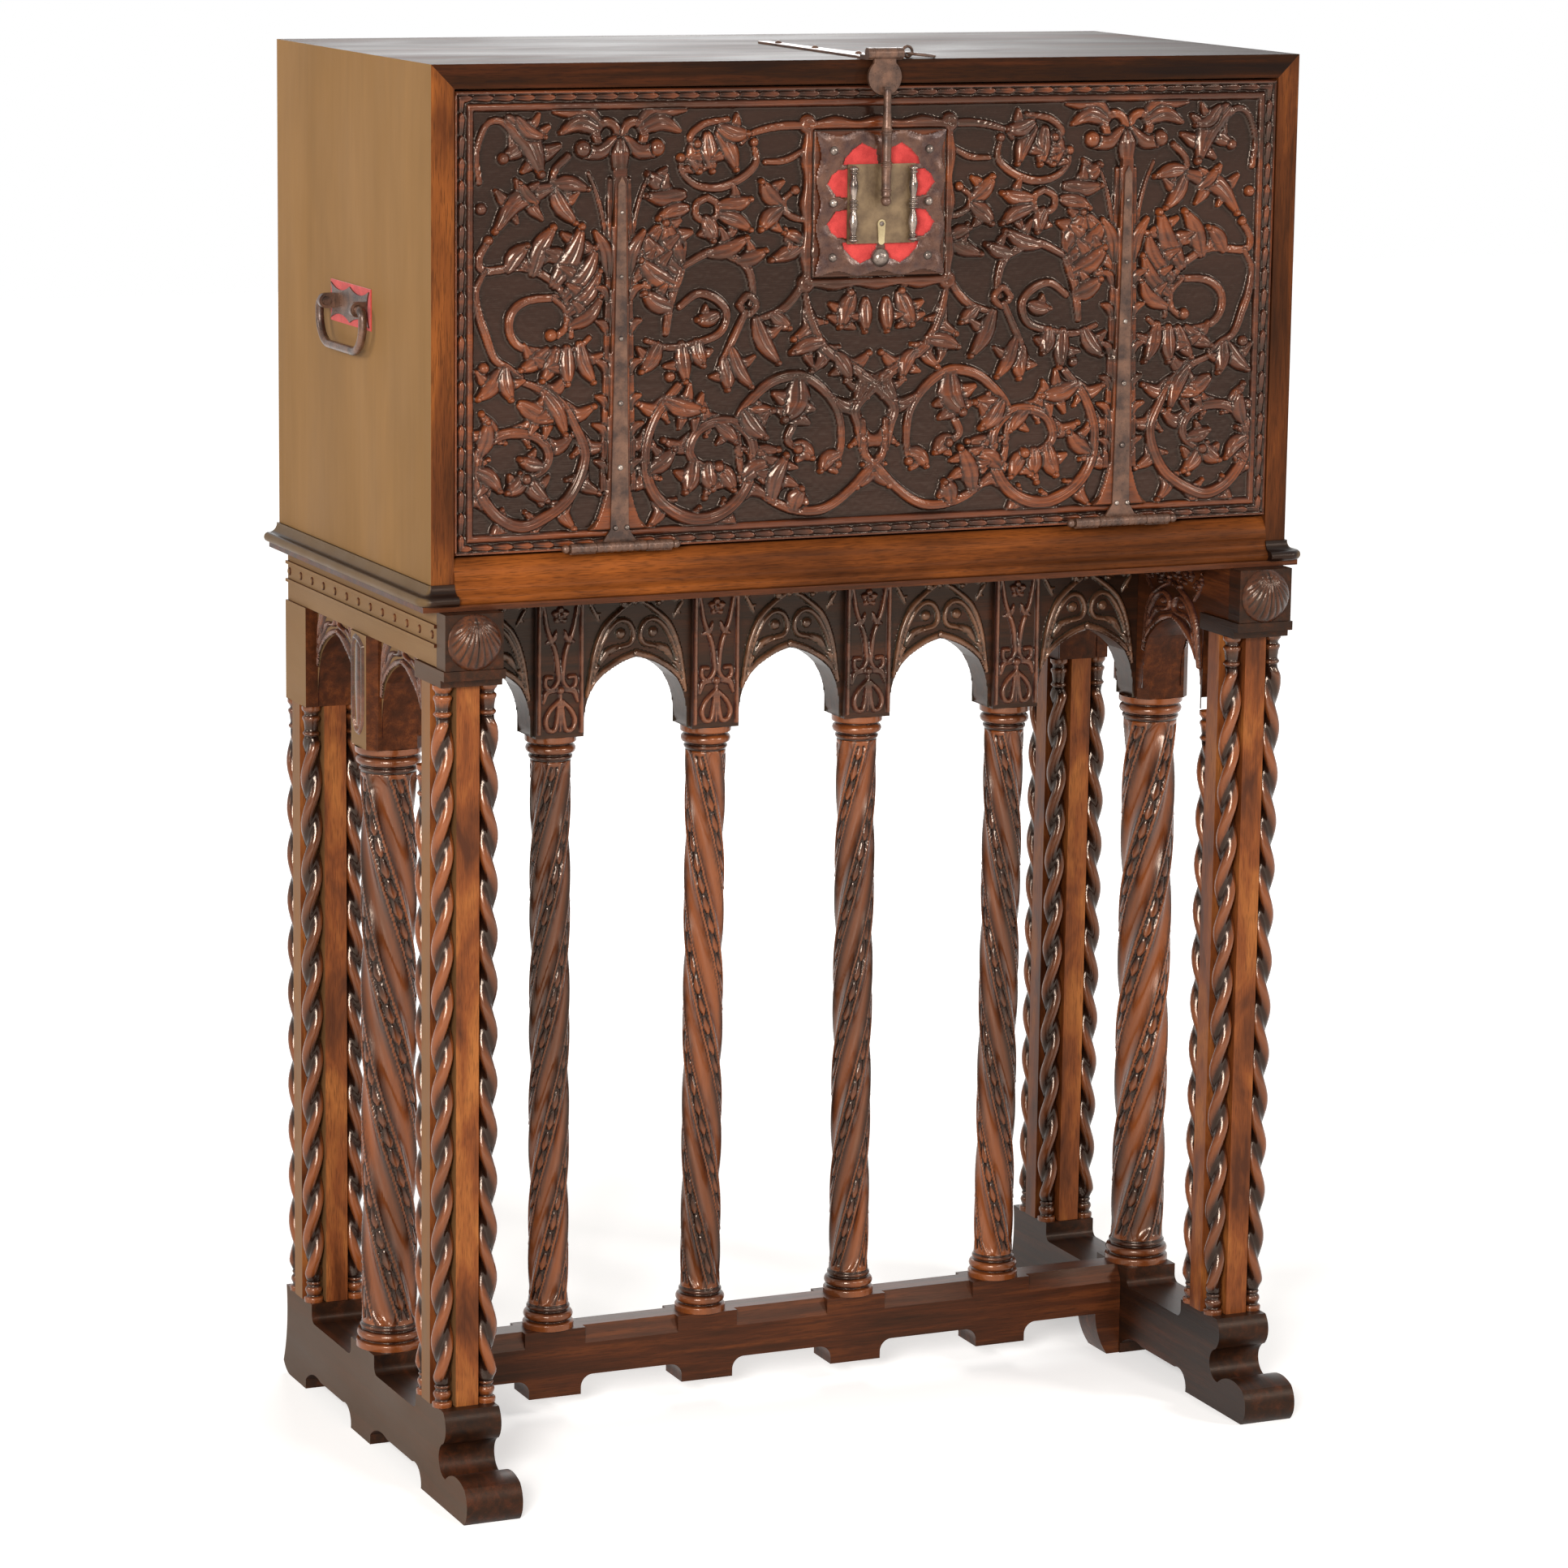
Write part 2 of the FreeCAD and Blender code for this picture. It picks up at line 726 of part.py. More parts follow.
def moulding_points(reach):
    """Cove and bead, as distance out from the board and height."""
    low = stand_height + base_fillet_height
    top = low + base_moulding_height
    bead = base_moulding_height / 2
    return [(0, top), (reach / 6, top),
            ((reach / 3, low + bead * 5 / 4), (reach * 3 / 4, low + bead)),
            ((reach, low + bead / 2), (reach * 3 / 4, low)), (0, low)]


def base_moulding(side):
    """The moulding along one side, returned round the front corner."""
    outer = side * (case_width / 2)
    reach = base_moulding_proud
    points = moulding_points(reach)

    def along_side(point):
        return V(outer + side * point[0], case_face_y, point[1])

    def along_front(point):
        return V(side * interior_half, case_face_y - point[0], point[1])

    run = prism(points, along_side, Y_AXIS * case_depth)
    corner = prism(points, along_front, X_AXIS * side * board)
    profile = Part.Face(outline(points, along_front))
    profile.translate(X_AXIS * side * board)
    turn = profile.revolve(V(outer, case_face_y, 0), Z_AXIS, side * FULL_TURN / 4)
    return run.fuse([corner, turn])


# Fall front

def fall_panel():
    """The fall: a board with a sunk front and raised beds for the ironwork."""
    panel = box((-fall_half, ground_y, fall_bottom_z), (fall_half, fall_back_y, fall_top_z))
    beds = []
    low = fall_bottom_z + border_width
    wide = strap_bed_foot_width / 2
    slim = strap_bed_width / 2
    tip = strap_bed_top_width / 2
    flare = strap_bed_foot_width * 3 / 4
    for side in (LEFT, RIGHT):
        centre = side * hinge_spacing / 2
        points = [(centre - wide, low), (centre + wide, low),
                  ((centre + slim + flare / 8, low + flare / 3), (centre + slim, low + flare)),
                  (centre + tip, low + strap_bed_length),
                  (centre, low + strap_bed_length + strap_bed_width),
                  (centre - tip, low + strap_bed_length), (centre - slim, low + flare),
                  ((centre - slim - flare / 8, low + flare / 3), (centre - wide, low))]
        beds.append(prism(points, on_front(bed_y), Y_AXIS * raised_proud + Y_AXIS * ground_depth))
    half = lock_plate_width / 2
    beds.append(box((-half, bed_y, lock_z - lock_plate_height / 2),
                    (half, ground_y, lock_z + lock_plate_height / 2)))
    return panel.fuse(beds)


def frame_ring(outer_half, low, high, width, front, back):
    outer = box((-outer_half, front, low), (outer_half, back, high))
    inner = box((-outer_half + width, front - width, low + width), (outer_half - width, back + width, high - width))
    return outer.cut(inner)


def fall_border():
    """The moulding round the fall: a husk band outside and a fillet inside."""
    front = case_face_y - border_husk_proud
    husk = frame_ring(fall_half, fall_bottom_z, fall_top_z, border_husk_width, front, ground_y)
    half = fall_half - border_husk_width
    fillet = frame_ring(half, fall_bottom_z + border_husk_width, fall_top_z - border_husk_width,
                        border_width - border_husk_width, case_face_y + border_fillet_sink, ground_y)
    return husk.fuse(fillet)


rib_pitch_share = 1.2
rib_neck_share = 0.9


def barrel(centre_x, start, length):
    """A ribbed knuckle on the hinge axis."""
    ribs = max(2, round(length / (hinge_barrel_radius * rib_pitch_share)))
    run = length / ribs
    neck = hinge_barrel_radius * rib_neck_share
    profile = []
    for index in range(ribs):
        low = start + index * run
        profile += [(neck, low), (hinge_barrel_radius, low + run / 4), (hinge_barrel_radius, low + run * 3 / 4)]
    profile.append((neck, start + length))
    return turned(profile, V(centre_x, hinge_y, hinge_z), X_AXIS)


def pin_hole(centre_x):
    start = V(centre_x - hinge_length, hinge_y, hinge_z)
    return Part.makeCylinder(hinge_pin_radius + hinge_pin_clearance, 2 * hinge_length, start, X_AXIS)


def strap_hinge(centre_x):
    """The strap on the fall with its middle knuckle."""
    back = bed_y
    front = back - strap_thickness
    low = hinge_z + hinge_barrel_radius / 2
    flare = low + strap_flare_height
    top = low + strap_length
    flare_half = strap_flare_width / 2
    points = [(centre_x - flare_half, low), (centre_x + flare_half, low),
              (centre_x + flare_half * 3 / 4, (low + flare) / 2),
              (centre_x + strap_bottom_width / 2, flare),
              (centre_x + strap_top_width / 2, top),
              (centre_x, top + strap_top_width),
              (centre_x - strap_top_width / 2, top), (centre_x - strap_bottom_width / 2, flare),
              (centre_x - flare_half * 3 / 4, (low + flare) / 2)]
    strap_front = case_face_y - border_husk_proud - strap_thickness
    plate = prism(points, on_front(strap_front), Y_AXIS * strap_thickness)
    knuckle = barrel(centre_x, -hinge_middle_length / 2, hinge_middle_length)
    web = box((centre_x - hinge_middle_length / 2 + knuckle_gap, strap_front, hinge_z),
              (centre_x + hinge_middle_length / 2 - knuckle_gap, case_face_y - border_husk_proud - knuckle_gap / 4,
               low + strap_thickness))
    return plate.fuse([knuckle, web]).cut(pin_hole(centre_x))


def case_leaf(centre_x):
    """The leaf on the sill with the two outer knuckles."""
    solids = []
    low = stand_height + sill_height
    top = fall_bottom_z - seat_gap
    outer_length = (hinge_length - hinge_middle_length) / 2 - knuckle_gap
    for start in (-hinge_length / 2, hinge_middle_length / 2 + knuckle_gap):
        knuckle = barrel(centre_x, start, outer_length)
        tail = box((centre_x + start, hinge_y, low),
                   (centre_x + start + outer_length, case_face_y + board - knuckle_gap, top))
        solids.append(knuckle.fuse(tail).cut(pin_hole(centre_x)))
    return solids


def hinge_pin(centre_x):
    """The pin, with a ball at each end of the barrel."""
    half = hinge_length / 2
    reach = half + hinge_ball_radius
    pin = Part.makeCylinder(hinge_pin_radius, 2 * reach, V(centre_x - reach, hinge_y, hinge_z), X_AXIS)
    balls = [Part.makeSphere(hinge_ball_radius, V(centre_x + side * (reach + seat_gap), hinge_y, hinge_z))
             for side in (LEFT, RIGHT)]
    return pin.fuse(balls)


# Lock

plate_back_y = bed_y - velvet_thickness
plate_front_y = plate_back_y - lock_plate_thickness
escutcheon_front_y = plate_front_y - escutcheon_thickness
scallop_count = 3


def lock_plate():
    """The square plate with a scalloped edge and eight pierced windows."""
    half_x = lock_plate_width / 2
    half_z = lock_plate_height / 2
    corners = [(-half_x, -half_z), (half_x, -half_z), (half_x, half_z), (-half_x, half_z)]
    points = [(corners[0][0], lock_z + corners[0][1])]
    for index, start in enumerate(corners):
        end = corners[(index + 1) % len(corners)]
        run = (end[0] - start[0], end[1] - start[1])
        length = math.hypot(*run)
        inward = (-run[1] / length * lock_scallop_depth, run[0] / length * lock_scallop_depth)
        for step in range(scallop_count):
            middle = (step + 0.5) / scallop_count
            finish = (step + 1) / scallop_count
            through = (start[0] + run[0] * middle + inward[0], lock_z + start[1] + run[1] * middle + inward[1])
            arrive = (start[0] + run[0] * finish, lock_z + start[1] + run[1] * finish)
            points.append((through, arrive))
    plate = prism(points, on_front(plate_front_y), Y_AXIS * lock_plate_thickness)
    for window in lock_windows():
        plate = plate.cut(window)
    return plate


window_waist_share = 0.35
window_far_share = 0.65


def lock_windows():
    """Two pierced windows along each edge of the plate, clear of the inner plate."""
    half_x = lock_plate_width / 2 - window_inset
    half_z = lock_plate_height / 2 - window_inset
    inner_x = escutcheon_width / 2 - window_gap / 2
    inner_z = escutcheon_height / 2 - window_gap / 2
    windows = []
    front = plate_front_y - lock_plate_thickness
    depth = Y_AXIS * 3 * lock_plate_thickness
    for side_x in (LEFT, RIGHT):
        for side_z in (LEFT, RIGHT):
            side = [(side_x * inner_x, lock_z + side_z * window_gap / 2),
                    (side_x * half_x, lock_z + side_z * window_gap / 2),
                    (side_x * (half_x - window_gap / 2), lock_z + side_z * half_z * window_waist_share),
                    (side_x * half_x, lock_z + side_z * half_z * window_far_share),
                    (side_x * inner_x, lock_z + side_z * half_z * window_far_share)]
            end = [(side_x * window_gap / 2, lock_z + side_z * inner_z),
                   (side_x * window_gap / 2, lock_z + side_z * half_z),
                   (side_x * half_x * window_waist_share, lock_z + side_z * (half_z - window_gap / 2)),
                   (side_x * half_x * window_far_share, lock_z + side_z * inner_z)]
            windows.append(prism(side, on_front(front), depth))
            windows.append(prism(end, on_front(front), depth))
    return windows


def lock_velvet():
    half_x = lock_plate_width / 2 - velvet_inset
    half_z = lock_plate_height / 2 - velvet_inset
    return box((-half_x, plate_back_y, lock_z - half_z), (half_x, bed_y, lock_z + half_z))


def escutcheon():
    """The inner plate with the keyhole."""
    half_x = escutcheon_width / 2
    plate = box((-half_x, escutcheon_front_y, lock_z - escutcheon_height / 2),
                (half_x, plate_front_y, lock_z + escutcheon_height / 2))
    low = keyhole_z() - keyhole_height
    hole = box((-keyhole_width / 2, escutcheon_front_y - seat_gap, low),
               (keyhole_width / 2, plate_front_y + seat_gap, low + keyhole_height))
    return plate.cut(hole)


def keyhole_z():
    """Height of the pin that the keyhole cover hangs on."""
    return lock_z - keyhole_drop


def keyhole_cover():
    half = keyhole_cover_width / 2
    top = keyhole_z()
    low = top - keyhole_cover_length + half
    points = [(-half, top), ((0, top + half), (half, top)), (half * 3 / 4, low),
              ((0, low - half), (-half * 3 / 4, low))]
    front = escutcheon_front_y - seat_gap - keyhole_cover_thickness
    cover = prism(points, on_front(front), Y_AXIS * keyhole_cover_thickness)
    hole = Part.makeCylinder(keyhole_pin_radius + hinge_pin_clearance, 2 * keyhole_cover_thickness,
                             V(0, front - keyhole_cover_thickness / 2, top), Y_AXIS)
    return cover.cut(hole)


def keyhole_pin():
    """The rivet that the keyhole cover turns on."""
    length = keyhole_cover_thickness + 2 * seat_gap
    pin = Part.makeCylinder(keyhole_pin_radius, length, V(0, escutcheon_front_y, keyhole_z()), Y_AXIS * LEFT)
    head = dome(V(0, escutcheon_front_y - length, keyhole_z()), 2 * keyhole_pin_radius,
                keyhole_pin_radius, Y_AXIS * LEFT)
    return pin.fuse(head)


baluster_neck_share = 0.6


def baluster(side):
    """A turned bar beside the hasp, held by two feet."""
    length = baluster_length
    radius = baluster_radius
    neck = radius * baluster_neck_share
    low = lock_z - length / 2
    profile = [(neck, low), (radius, low + length / 20), (neck, low + length / 10), (neck, low + length / 6),
               (radius, low + length / 4), (neck, low + length / 3), (radius, low + length / 2),
               (neck, low + length * 2 / 3), (radius, low + length * 3 / 4), (neck, low + length * 5 / 6),
               (neck, low + length * 9 / 10), (radius, low + length * 19 / 20), (neck, low + length)]
    centre_y = escutcheon_front_y - radius
    return turned(profile, V(side * baluster_spacing / 2, centre_y, 0))


def lock_nails():
    """Domed nails round the plate."""
    half_x = lock_plate_width / 2 - nail_inset
    half_z = lock_plate_height / 2 - nail_inset
    places = [(side_x * half_x, lock_z + share * half_z)
              for side_x in (LEFT, RIGHT) for share in (LEFT, 0.0, RIGHT)]
    return [dome(V(x, plate_front_y, z), nail_radius, nail_height, Y_AXIS * LEFT) for x, z in places]


def lock_boss():
    centre = V(0, plate_front_y, lock_z - boss_drop)
    return dome(centre, boss_radius, boss_height, Y_AXIS * LEFT)


def lock_case():
    half_x = lock_case_width / 2
    return box((-half_x, fall_back_y, lock_z - lock_case_height / 2),
               (half_x, fall_back_y + lock_case_depth, lock_z + lock_case_height / 2))


# Hasp and top ironwork

hasp_y = case_face_y - hasp_axis_out
hasp_z = case_top_z + hasp_axis_up


def hasp():
    """The hinged hasp: knuckle, neck, round shield, and a turned rod with a ball."""
    half = hasp_knuckle_length / 2
    knuckle = Part.makeCylinder(hasp_knuckle_radius, 2 * half, V(-half, hasp_y, hasp_z), X_AXIS)
    plate_y = hasp_y - hasp_plate_thickness / 2
    shield_z = hasp_z - hasp_shield_drop
    neck = box((-hasp_neck_width / 2, plate_y, shield_z), (hasp_neck_width / 2, plate_y + hasp_plate_thickness, hasp_z))
    shield = Part.makeCylinder(hasp_shield_radius, hasp_plate_thickness, V(0, plate_y, shield_z), Y_AXIS)
    rod_y = case_face_y - hasp_rod_out
    rod_top = shield_z - hasp_shield_radius * 2 / 3
    tip = hasp_z - hasp_rod_length
    turned_top = tip + hasp_turned_length
    slim = hasp_rod_radius
    thick = hasp_turned_radius
    profile = [(slim, tip), (thick, tip + hasp_turned_length / 3), (slim, tip + hasp_turned_length / 2),
               (thick, tip + hasp_turned_length * 5 / 8), (slim, tip + hasp_turned_length * 3 / 4),
               (thick, tip + hasp_turned_length * 7 / 8), (slim, turned_top), (slim, rod_top)]
    rod = turned(profile, V(0, rod_y, 0))
    ball = Part.makeSphere(hasp_ball_radius, V(0, rod_y, tip))
    arm = box((-slim, rod_y, rod_top - slim), (slim, plate_y + hasp_plate_thickness, rod_top + slim))
    return knuckle.fuse([neck, shield, rod, ball, arm])


def top_strap():
    """The fixed strap on the top of the case, with an ear on each side of the hasp's knuckle."""
    half = top_strap_width / 2
    tip = top_strap_tip_width / 2
    start = case_face_y + hasp_plate_thickness / 2
    end = start + top_strap_length
    points = [(-half, start), (half, start), (half, start + top_strap_width),
              (tip, end - top_strap_width), (tip, end - tip), ((0, end), (-tip, end - tip)),
              (-tip, end - top_strap_width), (-half, start + top_strap_width)]
    strap = prism(points, on_floor(case_top_z), Z_AXIS * top_strap_thickness)
    inner = hasp_knuckle_length / 2 + seat_gap
    outer = inner + hasp_ear_length
    bridge = box((-outer, start, case_top_z), (outer, start + 2 * hasp_ear_length, case_top_z + top_strap_thickness))
    ears = []
    for side in (LEFT, RIGHT):
        low_x = min(side * inner, side * outer)
        ears.append(Part.makeCylinder(hasp_knuckle_radius, hasp_ear_length, V(low_x, hasp_y, hasp_z), X_AXIS))
        ears.append(mirrored_box(side, inner, outer, hasp_y, start + hasp_ear_length,
                                 case_top_z, case_top_z + 2 * top_strap_thickness))
    return strap.fuse([bridge] + ears)


stud_shares = (0.15, 0.55, 0.90)


def top_studs():
    """Three round nails along the strap on the top."""
    start = case_face_y + top_strap_width / 2
    return [dome(V(0, start + (top_strap_length - top_strap_width) * share, case_top_z + top_strap_thickness),
                 stud_radius, stud_height, Z_AXIS) for share in stud_shares]


ring_x = ring_place_x
ring_y = case_face_y + ring_place_y
eye_z = case_top_z + eye_radius + eye_wire


def ring_stud():
    """The eye that holds the ring, standing on the top."""
    return Part.makeTorus(eye_radius, eye_wire, V(ring_x, ring_y, eye_z), Y_AXIS)


def ring_pull():
    """The ring lies through its eye and comes down on the top."""
    ring = Part.makeTorus(ring_radius, ring_wire, V(ring_radius, 0, 0), Z_AXIS)
    height = eye_z - eye_radius + eye_wire + ring_wire + seat_gap - case_top_z
    fall = height - ring_wire - seat_gap
    angle = math.degrees(math.asin(fall / (2 * ring_radius)))
    ring.rotate(V(0, 0, 0), Y_AXIS, angle)
    ring.translate(V(ring_x, ring_y, case_top_z + height))
    return ring


# Side handles

handle_z = stand_height + handle_height
handle_y = case_face_y + case_depth / 2
handle_face = case_width / 2 + handle_velvet_thickness + handle_plate_thickness
bail_x = case_width / 2 + bail_out


def handle_plate(side):
    """The pierced plate: a shield outline with two windows."""
    half = handle_plate_width / 2
    low = handle_z - handle_plate_height / 2
    high = handle_z + handle_plate_height / 2
    edge = handle_plate_height / 6
    points = [(handle_y - half, low),
              ((handle_y - half / 2, low + edge), (handle_y, low)),
              ((handle_y + half / 2, low + edge), (handle_y + half, low)),
              ((handle_y + half - edge, handle_z), (handle_y + half, high)),
              ((handle_y + half / 2, high - edge), (handle_y, high)),
              ((handle_y - half / 2, high - edge), (handle_y - half, high)),
              ((handle_y - half + edge, handle_z), (handle_y - half, low))]
    start = case_width / 2 + handle_velvet_thickness
    return prism(points, on_side(side * start), X_AXIS * side * handle_plate_thickness)


def handle_velvet(side):
    half = handle_plate_width / 2 + handle_velvet_margin
    half_z = handle_plate_height / 2 + handle_velvet_margin
    return mirrored_box(side, case_width / 2, case_width / 2 + handle_velvet_thickness,
                        handle_y - half, handle_y + half, handle_z - half_z, handle_z + half_z)


def handle_eyes(side):
    """Two eyes that carry the bail."""
    solids = []
    for along in (LEFT, RIGHT):
        centre = handle_y + along * (bail_width / 2 - bail_wire - 2 * handle_eye_width)
        low_y = centre - handle_eye_width / 2
        block = mirrored_box(side, handle_face, bail_x, low_y, low_y + handle_eye_width,
                             handle_z - handle_eye_radius, handle_z + handle_eye_radius)
        knob = Part.makeCylinder(handle_eye_radius, handle_eye_width, V(side * bail_x, low_y, handle_z), Y_AXIS)
        hole = Part.makeCylinder(bail_wire + bail_clearance, 2 * handle_eye_width,
                                 V(side * bail_x, low_y - handle_eye_width / 2, handle_z), Y_AXIS)
        solids.append(block.fuse(knob).cut(hole))
    return solids


def bail(side):
    """The hanging grip: one bar bent to a loop, with its ends turned in through the eyes."""
    half = bail_width / 2
    inner = half - bail_wire - 3 * handle_eye_width
    radius = bail_corner
    top_radius = 2 * bail_wire
    low = handle_z - bail_drop
    turn = 1 - math.sin(math.pi / 4)
    points = [V(0, inner, 0), V(0, half - top_radius, 0)]

    def bend(along, level, reach, sign):
        return V(0, along * (half - reach * turn), level + sign * reach * turn)

    edges = [Part.LineSegment(V(0, inner, 0), V(0, half - top_radius, 0)).toShape(),
             Part.Arc(V(0, half - top_radius, 0), bend(1, 0, top_radius, -1), V(0, half, -top_radius)).toShape(),
             Part.LineSegment(V(0, half, -top_radius), V(0, half, -bail_drop + radius)).toShape(),
             Part.Arc(V(0, half, -bail_drop + radius), bend(1, -bail_drop, radius, 1),
                      V(0, half - radius, -bail_drop)).toShape(),
             Part.LineSegment(V(0, half - radius, -bail_drop), V(0, -half + radius, -bail_drop)).toShape(),
             Part.Arc(V(0, -half + radius, -bail_drop), bend(-1, -bail_drop, radius, 1),
                      V(0, -half, -bail_drop + radius)).toShape(),
             Part.LineSegment(V(0, -half, -bail_drop + radius), V(0, -half, -top_radius)).toShape(),
             Part.Arc(V(0, -half, -top_radius), bend(-1, 0, top_radius, -1), V(0, -half + top_radius, 0)).toShape(),
             Part.LineSegment(V(0, -half + top_radius, 0), V(0, -inner, 0)).toShape()]
    path = Part.Wire(edges)
    ring = Part.Wire(Part.makeCircle(bail_wire, V(0, inner, 0), Y_AXIS))
    solid = path.makePipeShell([ring], True, False)
    solid.translate(V(side * bail_x, handle_y, handle_z))
    return solid


# Interior

row_height = (case_top_z - board - floor_z - (drawer_rows - 1) * shelf_thickness) / drawer_rows
column_width = (2 * interior_half - (drawer_columns - 1) * divider_thickness) / drawer_columns


def row_low(row):
    return floor_z + row * (row_height + shelf_thickness)


def column_low(index):
    return -interior_half + index * (column_width + divider_thickness)


def interior_shelves():
    """The floor, its plinth rail and the shelves between the rows."""
    solids = [box((-interior_half, interior_y, floor_z - floor_thickness), (interior_half, interior_back_y, floor_z))]
    plinth_low = stand_height + base_fillet_height + board
    solids.append(box((-interior_half, interior_y, plinth_low),
                      (interior_half, interior_y + plinth_thickness, floor_z - floor_thickness)))
    for row in range(1, drawer_rows):
        low = row_low(row) - shelf_thickness
        solids.append(box((-interior_half, interior_y, low), (interior_half, interior_back_y, low + shelf_thickness)))
    return solids


def interior_dividers():
    solids = []
    for row in range(drawer_rows):
        low = row_low(row)
        for index in range(1, drawer_columns):
            x = column_low(index) - divider_thickness
            solids.append(box((x, interior_y, low), (x + divider_thickness, interior_back_y, low + row_height)))
    return solids


def drawer(row, index):
    """An open box with a turned knob."""
    low_x = column_low(index) + drawer_clearance
    high_x = column_low(index) + column_width - drawer_clearance
    low_z = row_low(row) + seat_gap
    high_z = row_low(row) + row_height - 2 * drawer_clearance
    body = box((low_x, interior_y, low_z), (high_x, interior_y + drawer_depth, high_z))
    inside = box((low_x + drawer_side, interior_y + drawer_front, low_z + drawer_bottom),
                 (high_x - drawer_side, interior_y + drawer_depth - drawer_side, high_z + drawer_side))
    neck = knob_radius / 2
    profile = [(knob_radius * 3 / 4, 0), (neck, knob_length / 5), (neck, knob_length / 2),
               (knob_radius, knob_length * 2 / 3), (knob_radius * 3 / 4, knob_length * 9 / 10),
               (knob_radius / 4, knob_length)]
    centre = V((low_x + high_x) / 2, interior_y, (low_z + high_z) / 2)
    knob = turned(profile, centre, Y_AXIS * LEFT)
    return [body.cut(inside), knob]


# Every piece is written as its own file.

os.makedirs("parts", exist_ok=True)
side_names = ((LEFT, "left"), (RIGHT, "right"))
for side, word in side_names:
    x = side * post_x
    save("foot_" + word, foot(side))
    save("post_front_" + word, post_core(x, front_post_y, front_post_top))
    save("post_back_" + word, post_core(x, back_post_y, back_post_top))
    save("column_end_" + word,
         column(x, middle_y, column_seat_z, pier_bottom, end_shaft_radius, end_ring_radius, side))
    save("end_beam_" + word, end_beam(side))
    save("loper_" + word, loper(side))
    save("case_side_" + word, side_board(side))
    save("strap_hinge_" + word, strap_hinge(side * hinge_spacing / 2))
    save("bail_" + word, bail(side))

corner_solids = []
for side, word in side_names:
    corner_solids += colonettes(side * post_x, front_post_y, front_post_top, back_post_top)
    corner_solids += colonettes(side * post_x, back_post_y, back_post_top, back_post_top)
save("colonettes", *corner_solids)

for index, x in enumerate(column_places()):
    hand = LEFT if index % 2 else RIGHT
    save("column_arcade_" + str(index + 1),
         column(x, middle_y, column_seat_z, pier_bottom, arcade_shaft_radius, arcade_ring_radius, hand))

save("arcade_beam", arcade())
save("post_caps", post_cap(-post_x), post_cap(post_x))
save("friezes", frieze(LEFT), frieze(RIGHT))
save("stretcher", stretcher())
save("case_top", top_board())
save("case_bottom", bottom_board())
save("case_back", back_panel())
save("sill", sill())
save("base_mouldings", base_moulding(LEFT), base_moulding(RIGHT))
save("fall_panel", fall_panel())
save("fall_border", fall_border())
save("hinge_leaves", *[leaf for side in (LEFT, RIGHT) for leaf in case_leaf(side * hinge_spacing / 2)])
save("hinge_pins", *[hinge_pin(side * hinge_spacing / 2) for side in (LEFT, RIGHT)])
save("lock_plate", lock_plate())
save("lock_velvet", lock_velvet())
save("escutcheon", escutcheon())
save("keyhole_cover", keyhole_cover())
save("lock_balusters", baluster(LEFT), baluster(RIGHT))
save("lock_nails", lock_boss(), keyhole_pin(), *lock_nails())
save("lock_case", lock_case())
save("hasp", hasp())
save("top_strap", top_strap())
save("top_studs", ring_stud(), *top_studs())
save("ring_pull", ring_pull())
save("handle_plates", handle_plate(LEFT), handle_plate(RIGHT))
save("handle_velvets", handle_velvet(LEFT), handle_velvet(RIGHT))
save("handle_eyes", *(handle_eyes(LEFT) + handle_eyes(RIGHT)))
save("drawer_carcass", *(interior_shelves() + interior_dividers()))
row_names = ("lower", "middle", "upper")
column_names = ("left", "centre", "right")
for row in range(drawer_rows):
    for index in range(drawer_columns):
        save("drawer_" + row_names[row] + "_" + column_names[index], *drawer(row, index))
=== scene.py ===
import math

import bpy
import numpy as np
from mathutils import Matrix, Vector


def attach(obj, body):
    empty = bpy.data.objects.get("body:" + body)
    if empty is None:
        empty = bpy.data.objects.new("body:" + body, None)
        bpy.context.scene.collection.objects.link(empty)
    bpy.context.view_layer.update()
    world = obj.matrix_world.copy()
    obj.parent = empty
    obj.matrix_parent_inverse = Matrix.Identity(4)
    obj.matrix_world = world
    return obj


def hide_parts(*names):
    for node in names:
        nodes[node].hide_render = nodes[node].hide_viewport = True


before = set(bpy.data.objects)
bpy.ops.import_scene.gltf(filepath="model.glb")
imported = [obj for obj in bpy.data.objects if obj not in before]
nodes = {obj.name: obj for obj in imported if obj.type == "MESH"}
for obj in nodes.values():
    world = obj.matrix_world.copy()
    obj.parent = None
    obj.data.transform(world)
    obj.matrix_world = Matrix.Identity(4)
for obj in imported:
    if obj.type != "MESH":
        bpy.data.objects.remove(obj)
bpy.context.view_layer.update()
MM = 0.001
TURN = 2 * math.pi

# Camera, in metres and degrees: yaw turns from straight ahead to the right.
camera_place = Vector((-2.3592, -5.2597, 1.8241))
camera_yaw = 24.08
camera_pitch = 10.98
camera_roll = 0.75
camera_lens = 121.57
camera_sensor = 36.0
camera_reach = 100.0

# Lamps: name, place, height aimed at, width and power, in metres and watts, and colour.
lamps = (
    ("flash", (-3.3, -4.9, 2.4), 1.0, 1.5, 375, (1.0, 0.98, 0.96)),
    ("right", (3.9, -3.8, 3.0), 1.0, 0.9, 110, (1.0, 0.97, 0.93)),
    ("glint", (1.2, -5.4, 3.9), 1.0, 0.9, 80, (1.0, 0.98, 0.96)),
    ("left", (-4.6, 0.6, 2.4), 0.9, 1.2, 70, (1.0, 0.95, 0.88)),
    ("back", (1.5, 4.0, 3.2), 1.0, 1.6, 80, (1.0, 1.0, 1.0)),
)
white = (1.0, 1.0, 1.0)
room_colour = (1.0, 0.96, 0.9)
room_strength = 0.2
floor_colour = (0.82, 0.81, 0.8)
floor_size = 12.0
glow_near = 0.9
glow_far = 2.6
glow_least = 0.42

